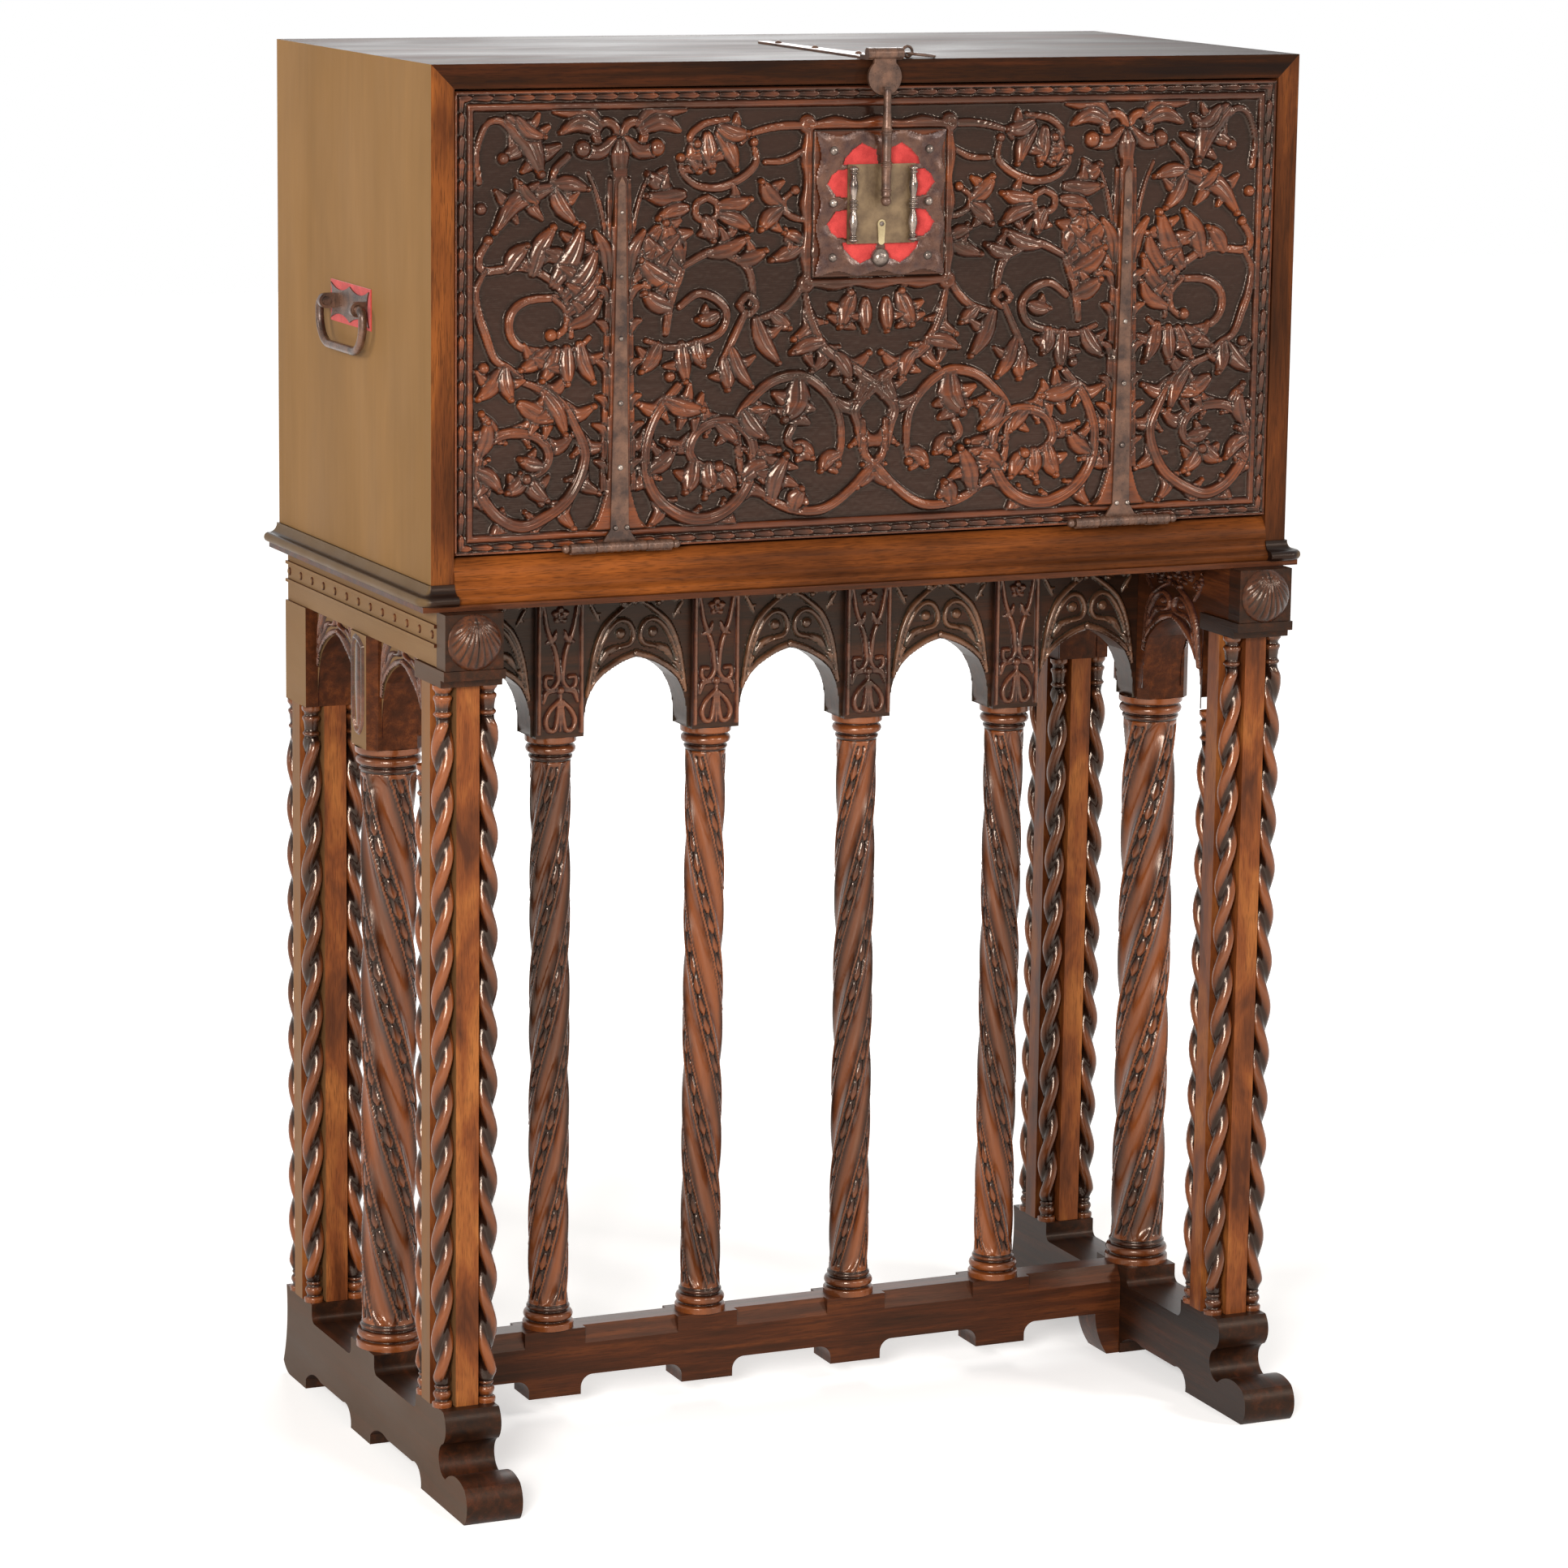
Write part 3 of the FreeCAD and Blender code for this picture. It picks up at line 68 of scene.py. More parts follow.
# Places of the object, in millimetres.
ground_y = -199.0
fall_half = 473.5
fall_bottom = 1012.5
fall_top = 1487.5
strap_place = 293.0
lock_z = 1365.0
post_x = 462.8
flanks = ((-1, "left"), (1, "right"))
front_post_y = -180.5
back_post_y = 236.5
middle_y = 28.0
seat_z = 105.0
pier_bottom = 775.0
front_post_top = 880.0
back_post_top = 788.0
bed_y = -207.0
bay_pitch = 183.85
loper_face_y = -233.0


# Camera

def add_camera():
    yaw, pitch, roll = map(math.radians, (camera_yaw, camera_pitch, camera_roll))
    forward = Vector((math.sin(yaw) * math.cos(pitch), math.cos(yaw) * math.cos(pitch), -math.sin(pitch)))
    level = Vector((math.cos(yaw), -math.sin(yaw), 0))
    upright = level.cross(forward)
    right = level * math.cos(roll) + upright * math.sin(roll)
    up = upright * math.cos(roll) - level * math.sin(roll)
    data = bpy.data.cameras.new("camera")
    data.lens = camera_lens
    data.sensor_width = camera_sensor
    data.sensor_fit = "HORIZONTAL"
    data.clip_end = camera_reach
    camera = bpy.data.objects.new("camera", data)
    turn = Matrix((right, up, -forward)).transposed()
    camera.matrix_world = Matrix.Translation(camera_place) @ turn.to_4x4()
    bpy.context.scene.collection.objects.link(camera)
    bpy.context.scene.camera = camera


# Node trees

class Nodes:
    """The nodes of a material or of the world."""

    def __init__(self, owner, output):
        owner.use_nodes = True
        self.owner = owner
        self.tree = owner.node_tree
        self.tree.nodes.clear()
        self.surface = self.add(output).inputs["Surface"]

    def feed(self, socket, value):
        if isinstance(value, bpy.types.NodeSocket):
            self.tree.links.new(value, socket)
        elif isinstance(value, tuple) and len(value) < len(socket.default_value):
            socket.default_value = (*value, 1)
        else:
            socket.default_value = value

    def add(self, kind, values=None, **settings):
        """A new node with its settings, and the value or link of each input named in values."""
        node = self.tree.nodes.new("ShaderNode" + kind)
        for key, value in settings.items():
            setattr(node, key, value)
        for key, value in (values or {}).items():
            self.feed(node.inputs[key], value)
        return node

    def places(self):
        return self.add("TexCoord").outputs["Object"]

    def noise(self, scale, detail=4.0, rough=0.55, distortion=0.0):
        scaled = self.add("Mapping", {"Scale": scale, "Vector": self.places()}).outputs[0]
        values = {"Vector": scaled, "Scale": 1.0, "Detail": detail, "Roughness": rough}
        return self.add("TexNoise", {**values, "Distortion": distortion}).outputs[0]

    def ramp(self, value, stops):
        node = self.add("ValToRGB", {0: value})
        elements = node.color_ramp.elements
        while len(elements) > 1:
            elements.remove(elements[-1])
        elements[0].position = stops[0][0]
        elements[0].color = (*stops[0][1], 1)
        for position, colour in stops[1:]:
            elements.new(position).color = (*colour, 1)
        return node.outputs[0]

    def curve(self, value, low, high, start=0.0, end=1.0):
        values = {"Value": value, "From Min": low, "From Max": high, "To Min": start, "To Max": end}
        return self.add("MapRange", values).outputs[0]

    def mix(self, share, first, second):
        return self.add("Mix", {0: share, 6: first, 7: second}, data_type="RGBA").outputs[2]

    def math(self, operation, first, second):
        return self.add("Math", {0: first, 1: second}, operation=operation).outputs[0]

    def sum(self, first, second):
        return self.math("ADD", first, second)

    def times(self, first, second):
        return self.math("MULTIPLY", first, second)

    def bump(self, height, distance, strength):
        return self.add("Bump", {"Height": height, "Distance": distance, "Strength": strength}).outputs[0]

    def show(self, kind, values):
        """A shader, with the values or links of its own sockets, on the surface."""
        self.feed(self.surface, self.add(kind, values).outputs[0])

    def show_seen(self, hidden, seen):
        """One shader for the light, and another where the camera looks, straight or by metal or glass."""
        path = self.add("LightPath")
        share = path.outputs["Is Camera Ray"]
        for name in ("Is Glossy Ray", "Is Transmission Ray"):
            share = self.math("MAXIMUM", share, path.outputs[name])
        self.show("MixShader", {"Fac": share, 1: hidden.outputs[0], 2: seen.outputs[0]})


# Light and floor

def add_surroundings():
    make = Nodes(bpy.data.worlds.new("studio"), "OutputWorld")
    bpy.context.scene.world = make.owner
    lit = make.add("Background", {"Color": room_colour, "Strength": room_strength})
    make.show_seen(lit, make.add("Background", {"Color": white, "Strength": 1.0}))
    for name, place, height, size, power, colour in lamps:
        data = bpy.data.lights.new(name, "AREA")
        data.shape = "RECTANGLE"
        data.size = data.size_y = size
        data.energy = power
        data.color = colour
        lamp = bpy.data.objects.new(name, data)
        turn = (Vector((0, 0, height)) - Vector(place)).to_track_quat("-Z", "Y")
        lamp.matrix_world = Matrix.Translation(place) @ turn.to_matrix().to_4x4()
        bpy.context.scene.collection.objects.link(lamp)


def add_floor():
    """A pale matt floor that glows more with the distance, so that it fades into the white backdrop."""
    mesh = bpy.data.meshes.new("floor")
    corners = [(x * floor_size, y * floor_size, 0) for x, y in ((-1, -1), (1, -1), (1, 1), (-1, 1))]
    mesh.from_pydata(corners, [], [(0, 1, 2, 3)])
    make = Nodes(bpy.data.materials.new("floor"), "OutputMaterial")
    distance = make.add("VectorMath", {0: make.places()}, operation="LENGTH").outputs["Value"]
    strength = make.curve(distance, glow_near, glow_far, glow_least, 1.0)
    glow = make.add("Emission", {"Color": white, "Strength": strength})
    matt = make.add("BsdfDiffuse", {"Color": floor_colour})
    make.show_seen(matt, make.add("AddShader", {0: matt.outputs[0], 1: glow.outputs[0]}))
    mesh.materials.append(make.owner)
    floor = bpy.data.objects.new("floor", mesh)
    bpy.context.scene.collection.objects.link(floor)


# Materials

near_black = (0.008, 0.004, 0.003)
umber = (0.020, 0.007, 0.003)
walnut = (0.052, 0.014, 0.005)
chestnut = (0.110, 0.030, 0.008)
amber = (0.22, 0.066, 0.014)
tan = (0.25, 0.136, 0.052)
dull = (0.15, 0.090, 0.040)
# Painted shade: the near-black colour that darkens the crevices of carved wood.
painted_crevice_shade = (0.006, 0.003, 0.002)
polish_tint = (1.0, 0.8, 0.66)

# Fineness of the wood's patterns along and across the grain, and of the others, per metre.
streak_scale = (4.0, 90.0)
pore_scale = (60.0, 900.0)
cloud_scale = (2.0, 6.0)
rust_scale = 55.0
pit_scale = 420.0
pile_scale = 1300.0
crush_scale = 70.0
wood_relief = 0.0006
iron_relief = 0.0005
velvet_relief = 0.0004

materials = {}


def new_material(name):
    make = Nodes(bpy.data.materials.new(name), "OutputMaterial")
    materials[name] = make.owner
    return make


def grain_scale(axis, along, across):
    """Noise scales that stretch the grain along one axis."""
    return tuple(along if axis == index else across for index in range(3))


def shade(colour, share):
    return tuple(share * part for part in colour)


def wood(name, dark, middle, light, axis, rough=(0.3, 0.45), gloss=0.3, hollow=None, side=None,
         side_share=0.75, side_range=(0.75, 0.95), mottle=0.38, patches=(3.0, 9.0), painted_top_light=0.0):
    """Old polished wood: streaks along the grain and rubbed patches.
    Carved wood has, by its relief value, the colour of its hollows, painted shade in its crevices, and
    lighter tops: rubbed in patches, and painted light on every top where a least share is given.
    Faces turned outward to the sides are paler where side is given, partly as a drier finish and partly as a
    painted pale reflection."""
    make = new_material(name)
    streak = make.noise(grain_scale(axis, *streak_scale), 6.0, 0.6, 0.4)
    patch = make.noise(grain_scale(axis, *patches), 4.0, 0.55, 0.6)
    pores = make.noise(grain_scale(axis, *pore_scale), 2.0, 0.5)
    tone = make.sum(make.times(streak, 1 - mottle), make.times(patch, mottle))
    colour = make.ramp(tone, ((0.36, dark), (0.5, middle), (0.64, light)))
    colour = make.mix(make.curve(pores, 0.35, 0.5, 0.5, 0.0), colour, dark)
    roughness = make.curve(patch, 0.3, 0.7, *rough)
    if hollow:
        depth = make.add("Attribute", attribute_name="relief").outputs["Fac"]
        # Lighter tops, by a high relief value: rubbed in patches, and painted light on every top by the
        # least share given.
        worn_and_lit = make.times(make.curve(depth, 0.5, 0.85), make.curve(patch, 0.4, 0.6, painted_top_light, 0.85))
        colour = make.mix(worn_and_lit, colour, light)
        # The hollows take the ground colour by a low relief value; beside taller carving this is painted
        # shade.
        ground = make.mix(make.curve(patch, 0.45, 0.62), hollow, shade(hollow, 1.5))
        colour = make.mix(make.curve(depth, 0.34, 0.5, 1.0, 0.0), colour, ground)
        # Painted shade: crevices, where the relief value is lowest, are darkened almost to black.
        colour = make.mix(make.curve(depth, 0.02, 0.26, 0.8, 0.0), colour, painted_crevice_shade)
        gloss = make.curve(depth, 0.3, 0.7, 0.75 * gloss, gloss)
    if side:
        normal = make.add("TexCoord").outputs["Normal"]
        facing_x = make.add("SeparateXYZ", {0: normal}).outputs[0]
        place_x = make.add("SeparateXYZ", {0: make.places()}).outputs[0]
        outward = make.times(facing_x, make.curve(place_x, -0.02, 0.02, -1.0, 1.0))
        # Partly a drier finish, partly a painted pale reflection: faces turned outward to the sides get the
        # paler side colour and more roughness.
        turned = make.curve(outward, *side_range, 0.0, side_share)
        cloud = make.noise(grain_scale(axis, *cloud_scale), 4.0, 0.6, 0.3)
        dry_and_sheen = make.mix(make.curve(cloud, 0.35, 0.65), shade(side, 0.78), side)
        dry_and_sheen = make.mix(make.curve(streak, 0.4, 0.62, 0.0, 0.12), dry_and_sheen, shade(side, 0.6))
        colour = make.mix(turned, colour, dry_and_sheen)
        roughness = make.sum(roughness, make.times(turned, 0.25))
    height = make.sum(make.times(streak, 0.6), make.times(pores, 0.4))
    make.show("BsdfPrincipled", {
        "Base Color": colour, "Roughness": roughness, "Specular IOR Level": gloss,
        "Specular Tint": polish_tint, "Normal": make.bump(height, wood_relief, 0.5)})


def iron(name, dark, light, metallic, rough):
    make = new_material(name)
    patch = make.noise((rust_scale,) * 3, 5.0, 0.6)
    pits = make.noise((pit_scale,) * 3, 3.0, 0.6)
    make.show("BsdfPrincipled", {
        "Base Color": make.ramp(patch, ((0.35, dark), (0.65, light))),
        "Roughness": make.curve(pits, 0.3, 0.7, *rough), "Metallic": metallic,
        "Normal": make.bump(make.sum(patch, pits), iron_relief, 0.5)})


def velvet(name, dark, light):
    make = new_material(name)
    pile = make.noise((pile_scale,) * 3, 2.0, 0.5)
    patch = make.noise((crush_scale,) * 3, 3.0, 0.5)
    tone = make.sum(make.times(pile, 0.4), make.times(patch, 0.6))
    make.show("BsdfPrincipled", {
        "Base Color": make.ramp(tone, ((0.35, dark), (0.62, light))), "Roughness": 0.95,
        "Sheen Weight": 0.25, "Sheen Roughness": 0.4, "Normal": make.bump(pile, velvet_relief, 0.6)})


wood("carving", umber, (0.052, 0.013, 0.006), (0.16, 0.036, 0.008), 0, (0.13, 0.23), 0.48,
     hollow=(0.014, 0.005, 0.003))
wood("dark_carving", umber, (0.062, 0.020, 0.011), (0.15, 0.047, 0.020), 0, (0.15, 0.25), 0.55,
     hollow=(0.030, 0.010, 0.008))
wood("spandrel_wood", umber, (0.065, 0.027, 0.014), (0.17, 0.072, 0.034), 0, (0.15, 0.25), 0.6,
     hollow=(0.026, 0.020, 0.013))
wood("end_carving", umber, walnut, chestnut, 2, (0.2, 0.32), 0.4, hollow=(0.012, 0.006, 0.004))
wood("turned_wood", umber, (0.055, 0.015, 0.006), (0.20, 0.052, 0.012), 2, (0.14, 0.24), 0.55,
     hollow=(0.014, 0.005, 0.003), mottle=0.7, painted_top_light=0.35)
wood("upright_wood", walnut, (0.17, 0.046, 0.012), (0.29, 0.098, 0.024), 2, gloss=0.2,
     side=(0.2, 0.105, 0.042), mottle=0.75, patches=(9.0, 26.0))
wood("cross_wood", umber, walnut, chestnut, 0, gloss=0.2)
# Partly its own dark colour, partly painted shade: the arcade beam under the case is coloured near black.
wood("arch_wood", near_black, umber, walnut, 0)
wood("rail_wood", near_black, umber, walnut, 1, gloss=0.2, side=(0.09, 0.05, 0.026), side_share=0.6)
wood("end_wood", umber, walnut, chestnut, 1, gloss=0.12, side=(0.22, 0.128, 0.058), side_share=0.85)
wood("front_edge", near_black, umber, walnut, 0, (0.45, 0.6), 0.06, side=tan)
wood("side_panel", umber, (0.085, 0.024, 0.007), amber, 2, gloss=0.1, side=tan, side_share=1.0, mottle=0.7)
wood("sill_wood", umber, (0.10, 0.028, 0.007), (0.22, 0.060, 0.011), 0, (0.25, 0.38), 0.06, mottle=0.7)
wood("ebonised", near_black, near_black, umber, 0, (0.26, 0.4), 0.2, side=dull, side_range=(0.3, 0.6))
wood("inside_wood", walnut, chestnut, amber, 0, (0.45, 0.6))
iron("iron", (0.035, 0.018, 0.012), (0.14, 0.068, 0.04), 0.35, (0.24, 0.42))
iron("lock_iron", (0.035, 0.012, 0.008), (0.10, 0.042, 0.022), 0.3, (0.22, 0.4))
iron("rubbed_iron", (0.06, 0.042, 0.034), (0.30, 0.24, 0.20), 0.7, (0.16, 0.3))
iron("bronzed", (0.085, 0.05, 0.024), (0.17, 0.11, 0.055), 0.35, (0.36, 0.55))
velvet("velvet", (0.32, 0.018, 0.016), (0.52, 0.045, 0.038))
iron("brass", (0.30, 0.23, 0.12), (0.46, 0.37, 0.21), 0.4, (0.3, 0.45))

node_materials = {
    "upright_wood": ("post_front_left", "post_front_right", "post_back_left", "post_back_right"),
    "cross_wood": ("stretcher", "case_bottom", "fall_panel"),
    "arch_wood": ("arcade_beam",),
    "rail_wood": ("post_caps", "foot_left", "foot_right", "loper_left", "loper_right"),
    "end_wood": ("end_beam_left", "end_beam_right", "friezes"),
    "front_edge": ("case_top",),
    "side_panel": ("case_side_left", "case_side_right", "case_back"),
    "sill_wood": ("sill",),
    "ebonised": ("base_mouldings",),
    "iron": ("strap_hinge_left", "strap_hinge_right", "hinge_leaves", "hinge_pins", "lock_plate",
             "lock_nails", "lock_balusters", "hasp", "top_strap", "top_studs", "ring_pull",
             "handle_plates", "handle_eyes", "bail_left", "bail_right"),
    "bronzed": ("escutcheon", "lock_case"),
    "velvet": ("lock_velvet", "handle_velvets"),
    "brass": ("keyhole_cover",),
}


def dress_nodes():
    for key, names in node_materials.items():
        for name in names:
            give(nodes[name], materials[key])
    for name, node in nodes.items():
        if name.startswith("drawer_"):
            give(node, materials["inside_wood"])
        if name.startswith("column_") or name in ("colonettes", "fall_border"):
            give(node, materials["upright_wood"])


def give(piece, material):
    """Every slot of the piece gets the material."""
    if not piece.data.materials:
        piece.data.materials.append(material)
    for slot in piece.material_slots:
        slot.material = material


# Meshes

def grid_faces(rows, columns, wrap, keep=None):
    """Quads of a grid of points; keep marks the ones that stay."""
    count = columns if wrap else columns - 1
    row = np.arange(rows - 1)[:, None] * columns
    here = np.arange(count)[None, :]
    there = (here + 1) % columns
    quads = np.stack([row + here, row + there, row + columns + there, row + columns + here], axis=-1)
    return quads.reshape(-1, 4) if keep is None else quads[keep]


def surface(name, grids, material, body="case_and_stand", replaced=(), wrap=False):
    """One piece from grids of points in millimetres, each with its relief and perhaps the quads to keep."""
    places, faces, depths = [], [], []
    start = 0
    for points, relief, *keep in grids:
        quads = grid_faces(*points.shape[:2], wrap, *keep)
        used, numbers = np.unique(quads, return_inverse=True)
        places.append(points.reshape(-1, 3)[used])
        depths.append(np.broadcast_to(relief, points.shape[:2]).reshape(-1)[used])
        faces.append(numbers.reshape(-1, 4) + start)
        start += len(used)
    places, faces, depths = np.concatenate(places), np.concatenate(faces), np.concatenate(depths)
    mesh = bpy.data.meshes.new(name)
    mesh.vertices.add(len(places))
    mesh.vertices.foreach_set("co", (places * MM).astype(np.float32).reshape(-1))
    mesh.loops.add(faces.size)
    mesh.loops.foreach_set("vertex_index", faces.astype(np.int32).reshape(-1))
    mesh.polygons.add(len(faces))
    mesh.polygons.foreach_set("loop_start", np.arange(0, faces.size, 4, dtype=np.int32))
    mesh.polygons.foreach_set("use_smooth", np.ones(len(faces), dtype=bool))
    mesh.update(calc_edges=True)
    layer = mesh.attributes.new("relief", "FLOAT", "POINT")
    layer.data.foreach_set("value", depths.astype(np.float32))
    mesh.materials.append(materials[material])
    piece = bpy.data.objects.new(name, mesh)
    bpy.context.scene.collection.objects.link(piece)
    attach(piece, body)
    for node in replaced:
        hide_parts(node)


# Shapes

def unit(value):
    return np.clip(value, 0, 1)


def dome(across):
    """Height of a round back across its width, which runs from -1 to 1."""
    return np.sqrt(unit(1 - across ** 2))


def peak(off, width):
    """1 in the middle, which falls off smoothly to both sides."""
    return np.exp(-(off / width) ** 2)


def beside(side, points, centre=0.0):
    """Points given outward from a centre line, on one side of it."""
    return [(centre + side * off, z) for off, z in points]


def around(sides):
    """Angles of the points of a ring, as one row."""
    return np.linspace(0, TURN, sides, endpoint=False)[None, :]


def ring_points(radius, angle, height):
    """Rows of points round a standing axis."""
    return stacked(radius * np.cos(angle), radius * np.sin(angle), height + 0 * angle)


def curve_through(points, step=1.3):
    """A smooth curve through the points, sampled evenly."""
    points = np.array(points, float)
    if len(points) == 2:
        count = max(int(np.hypot(*(points[1] - points[0])) / step), 2)
        return points[0] + (points[1] - points[0]) * np.linspace(0, 1, count)[:, None]
    padded = np.vstack([2 * points[0] - points[1], points, 2 * points[-1] - points[-2]])
    pieces = []
    for a, b, c, d in zip(padded, padded[1:], padded[2:], padded[3:]):
        count = max(int(np.hypot(*(c - b)) / step), 2)
        t = np.linspace(0, 1, count, endpoint=False)[:, None]
        pieces.append(0.5 * (2 * b + (c - a) * t + (2 * a - 5 * b + 4 * c - d) * t ** 2
                             + (3 * b - a - 3 * c + d) * t ** 3))
    pieces.append(points[-1:])
    return np.vstack(pieces)


def stacked(*parts):
    return np.stack(parts, axis=-1)


def tongue_width(share, root, end):
    """Share of the full width along a pointed tongue or husk: widest at 0.7 and closed at its end."""
    return np.where(share < 0.7, root + (1 - root) * share / 0.7, np.sqrt(unit((end - share) / (end - 0.7))))


# Carving, drawn as strokes on a field of heights

petal_radius_shares = (0.55, 0.82, 1.0, 1.0, 0.86, 0.6, 0.3)
petal_rise_shares = (0.6, 0.75, 0.9, 1.0, 1.0)


class Field:
    """Heights over a grid of points, in millimetres."""

    def __init__(self, low_x, high_x, low_z, high_z, step):
        self.x = np.linspace(low_x, high_x, int(round((high_x - low_x) / step)) + 1)
        self.z = np.linspace(low_z, high_z, int(round((high_z - low_z) / step)) + 1)
        self.height = np.zeros((len(self.z), len(self.x)))

    def stroke(self, points, radii, top, groove=0.0, crease=0.3, rise=None, under=0.5):
        """A rounded rib along a curve; radii and rise follow its share from start to end.
        It lies over what is there already, which shows through by the share under."""
        path = curve_through(points)
        share = np.linspace(0, 1, len(path))
        radius = np.interp(share, np.linspace(0, 1, len(radii)), radii)
        tall = top * (radius / max(radii)) ** 0.6
        if rise is not None:
            tall = top * np.interp(share, np.linspace(0, 1, len(rise)), rise)
        reach = max(radii)
        columns = slice(*np.searchsorted(self.x, (path[:, 0].min() - reach, path[:, 0].max() + reach)))
        rows = slice(*np.searchsorted(self.z, (path[:, 1].min() - reach, path[:, 1].max() + reach)))
        grid_x, grid_z = np.meshgrid(self.x[columns], self.z[rows])
        tangent = np.gradient(path, axis=0)
        tangent /= np.maximum(np.hypot(tangent[:, 0], tangent[:, 1]), 1e-9)[:, None]
        best = np.zeros(grid_x.shape)
        across = np.zeros(grid_x.shape)
        for (x, z), r, h, (along_x, along_z) in zip(path, radius, tall, tangent):
            part = (slice(*np.searchsorted(self.z[rows], (z - r, z + r))),
                    slice(*np.searchsorted(self.x[columns], (x - r, x + r))))
            off_x = grid_x[part] - x
            off_z = grid_z[part] - z
            value = h * np.sqrt(np.maximum(1 - (off_x ** 2 + off_z ** 2) / r ** 2, 0))
            better = value > best[part]
            best[part][better] = value[better]
            across[part][better] = ((off_z * along_x - off_x * along_z) / r)[better]
        if groove:
            cut = groove * peak(np.abs(across) - crease, 0.16)
            best = np.where(best > 0, np.maximum(best - cut, 0.05), 0)
        area = self.height[rows, columns]
        area[:] = np.where(best > 0, np.maximum(best, under * area), area)

    def ball(self, centre, radius, top):
        self.stroke([centre, (centre[0] + 0.5, centre[1])], (radius, radius), top)

    def petal(self, start, end, width, bend, top):
        """One lobe of a leaf: narrow at its root, full and high near its curled tip, with a crease."""
        start, end = np.array(start, float), np.array(end, float)
        run = end - start
        middle = (start + end) / 2 + np.array((-run[1], run[0])) * bend
        radii = [width / 2 * share for share in petal_radius_shares]
        self.stroke([start, middle, end], radii, top, 0.2 * top, 0.0, petal_rise_shares, 0.75)

    def shoots(self, points, spacing, length, top):
        """Tongues that peel off a long stem along its run, longer on its outer side."""
        path = curve_through(points)
        count = int(len(path) * 1.3 / spacing)
        for index in range(count):
            here = int((index + 0.4) / count * (len(path) - 3)) + 1
            ahead = path[here + 1] - path[here - 1]
            ahead /= np.hypot(*ahead)
            side = np.array((-ahead[1], ahead[0]))
            late = path[min(here + 12, len(path) - 1)] - path[here]
            outer = -1 if late @ side > 0 else 1
            for hand, reach in ((outer, length), (-outer, 0.72 * length)):
                tip = path[here] + (0.8 * ahead + 0.62 * hand * side) * reach
                self.petal(path[here], tip, 0.5 * reach, -hand * 0.3, top)
                self.ball(tip, 0.11 * reach, top)

    def leaf(self, start, end, width, lobes, bend, top=9.8):
        """An acanthus leaf: lobes on a bent rib, in pairs on a large leaf, and a longer one at the tip."""
        start, end = np.array(start, float), np.array(end, float)
        run = end - start
        length = math.hypot(*run)
        ahead = run / length
        side = np.array((-ahead[1], ahead[0]))
        rib = curve_through([start, (start + end) / 2 + side * bend * length, end])
        hands = (-1, 1) if lobes > 2 else (1 if bend < 0 else -1,)
        for index in range(lobes - 1):
            root = rib[int((0.12 + 0.26 * index) * (len(rib) - 1))]
            spread = math.radians(56 - 14 * index)
            for hand in hands:
                toward = ahead * math.cos(spread) + side * hand * math.sin(spread)
                tip = root + toward * min(0.75 * width, 0.7 * length)
                self.petal(root, tip, width * 0.44, -hand * 0.35, top * 0.85)
        self.petal(rib[0], end, width * 0.58, bend * 0.7, top)
        self.ball(end, width * 0.11, top)


def wear_and_shade_relief(height, reach=3):
    """How exposed each point is, as a relief value for rubbed tops and painted shade: dark, as painted
    shade, where the carving is higher within some cells' reach of it.
    """
    near = height.copy()
    for _ in range(2):
        for axis in (0, 1):
            near = sum(np.roll(near, turn, axis) for turn in range(-reach, reach + 1)) / (2 * reach + 1)
    tall = height.max()
    return unit(0.3 + 0.3 * height / tall + 1.1 * (height - near) / tall)


# The carving of the fall is drawn for its left half, which the right half mirrors.
# A place is how far it lies left of the middle, and how far above 1 m, both in millimetres.

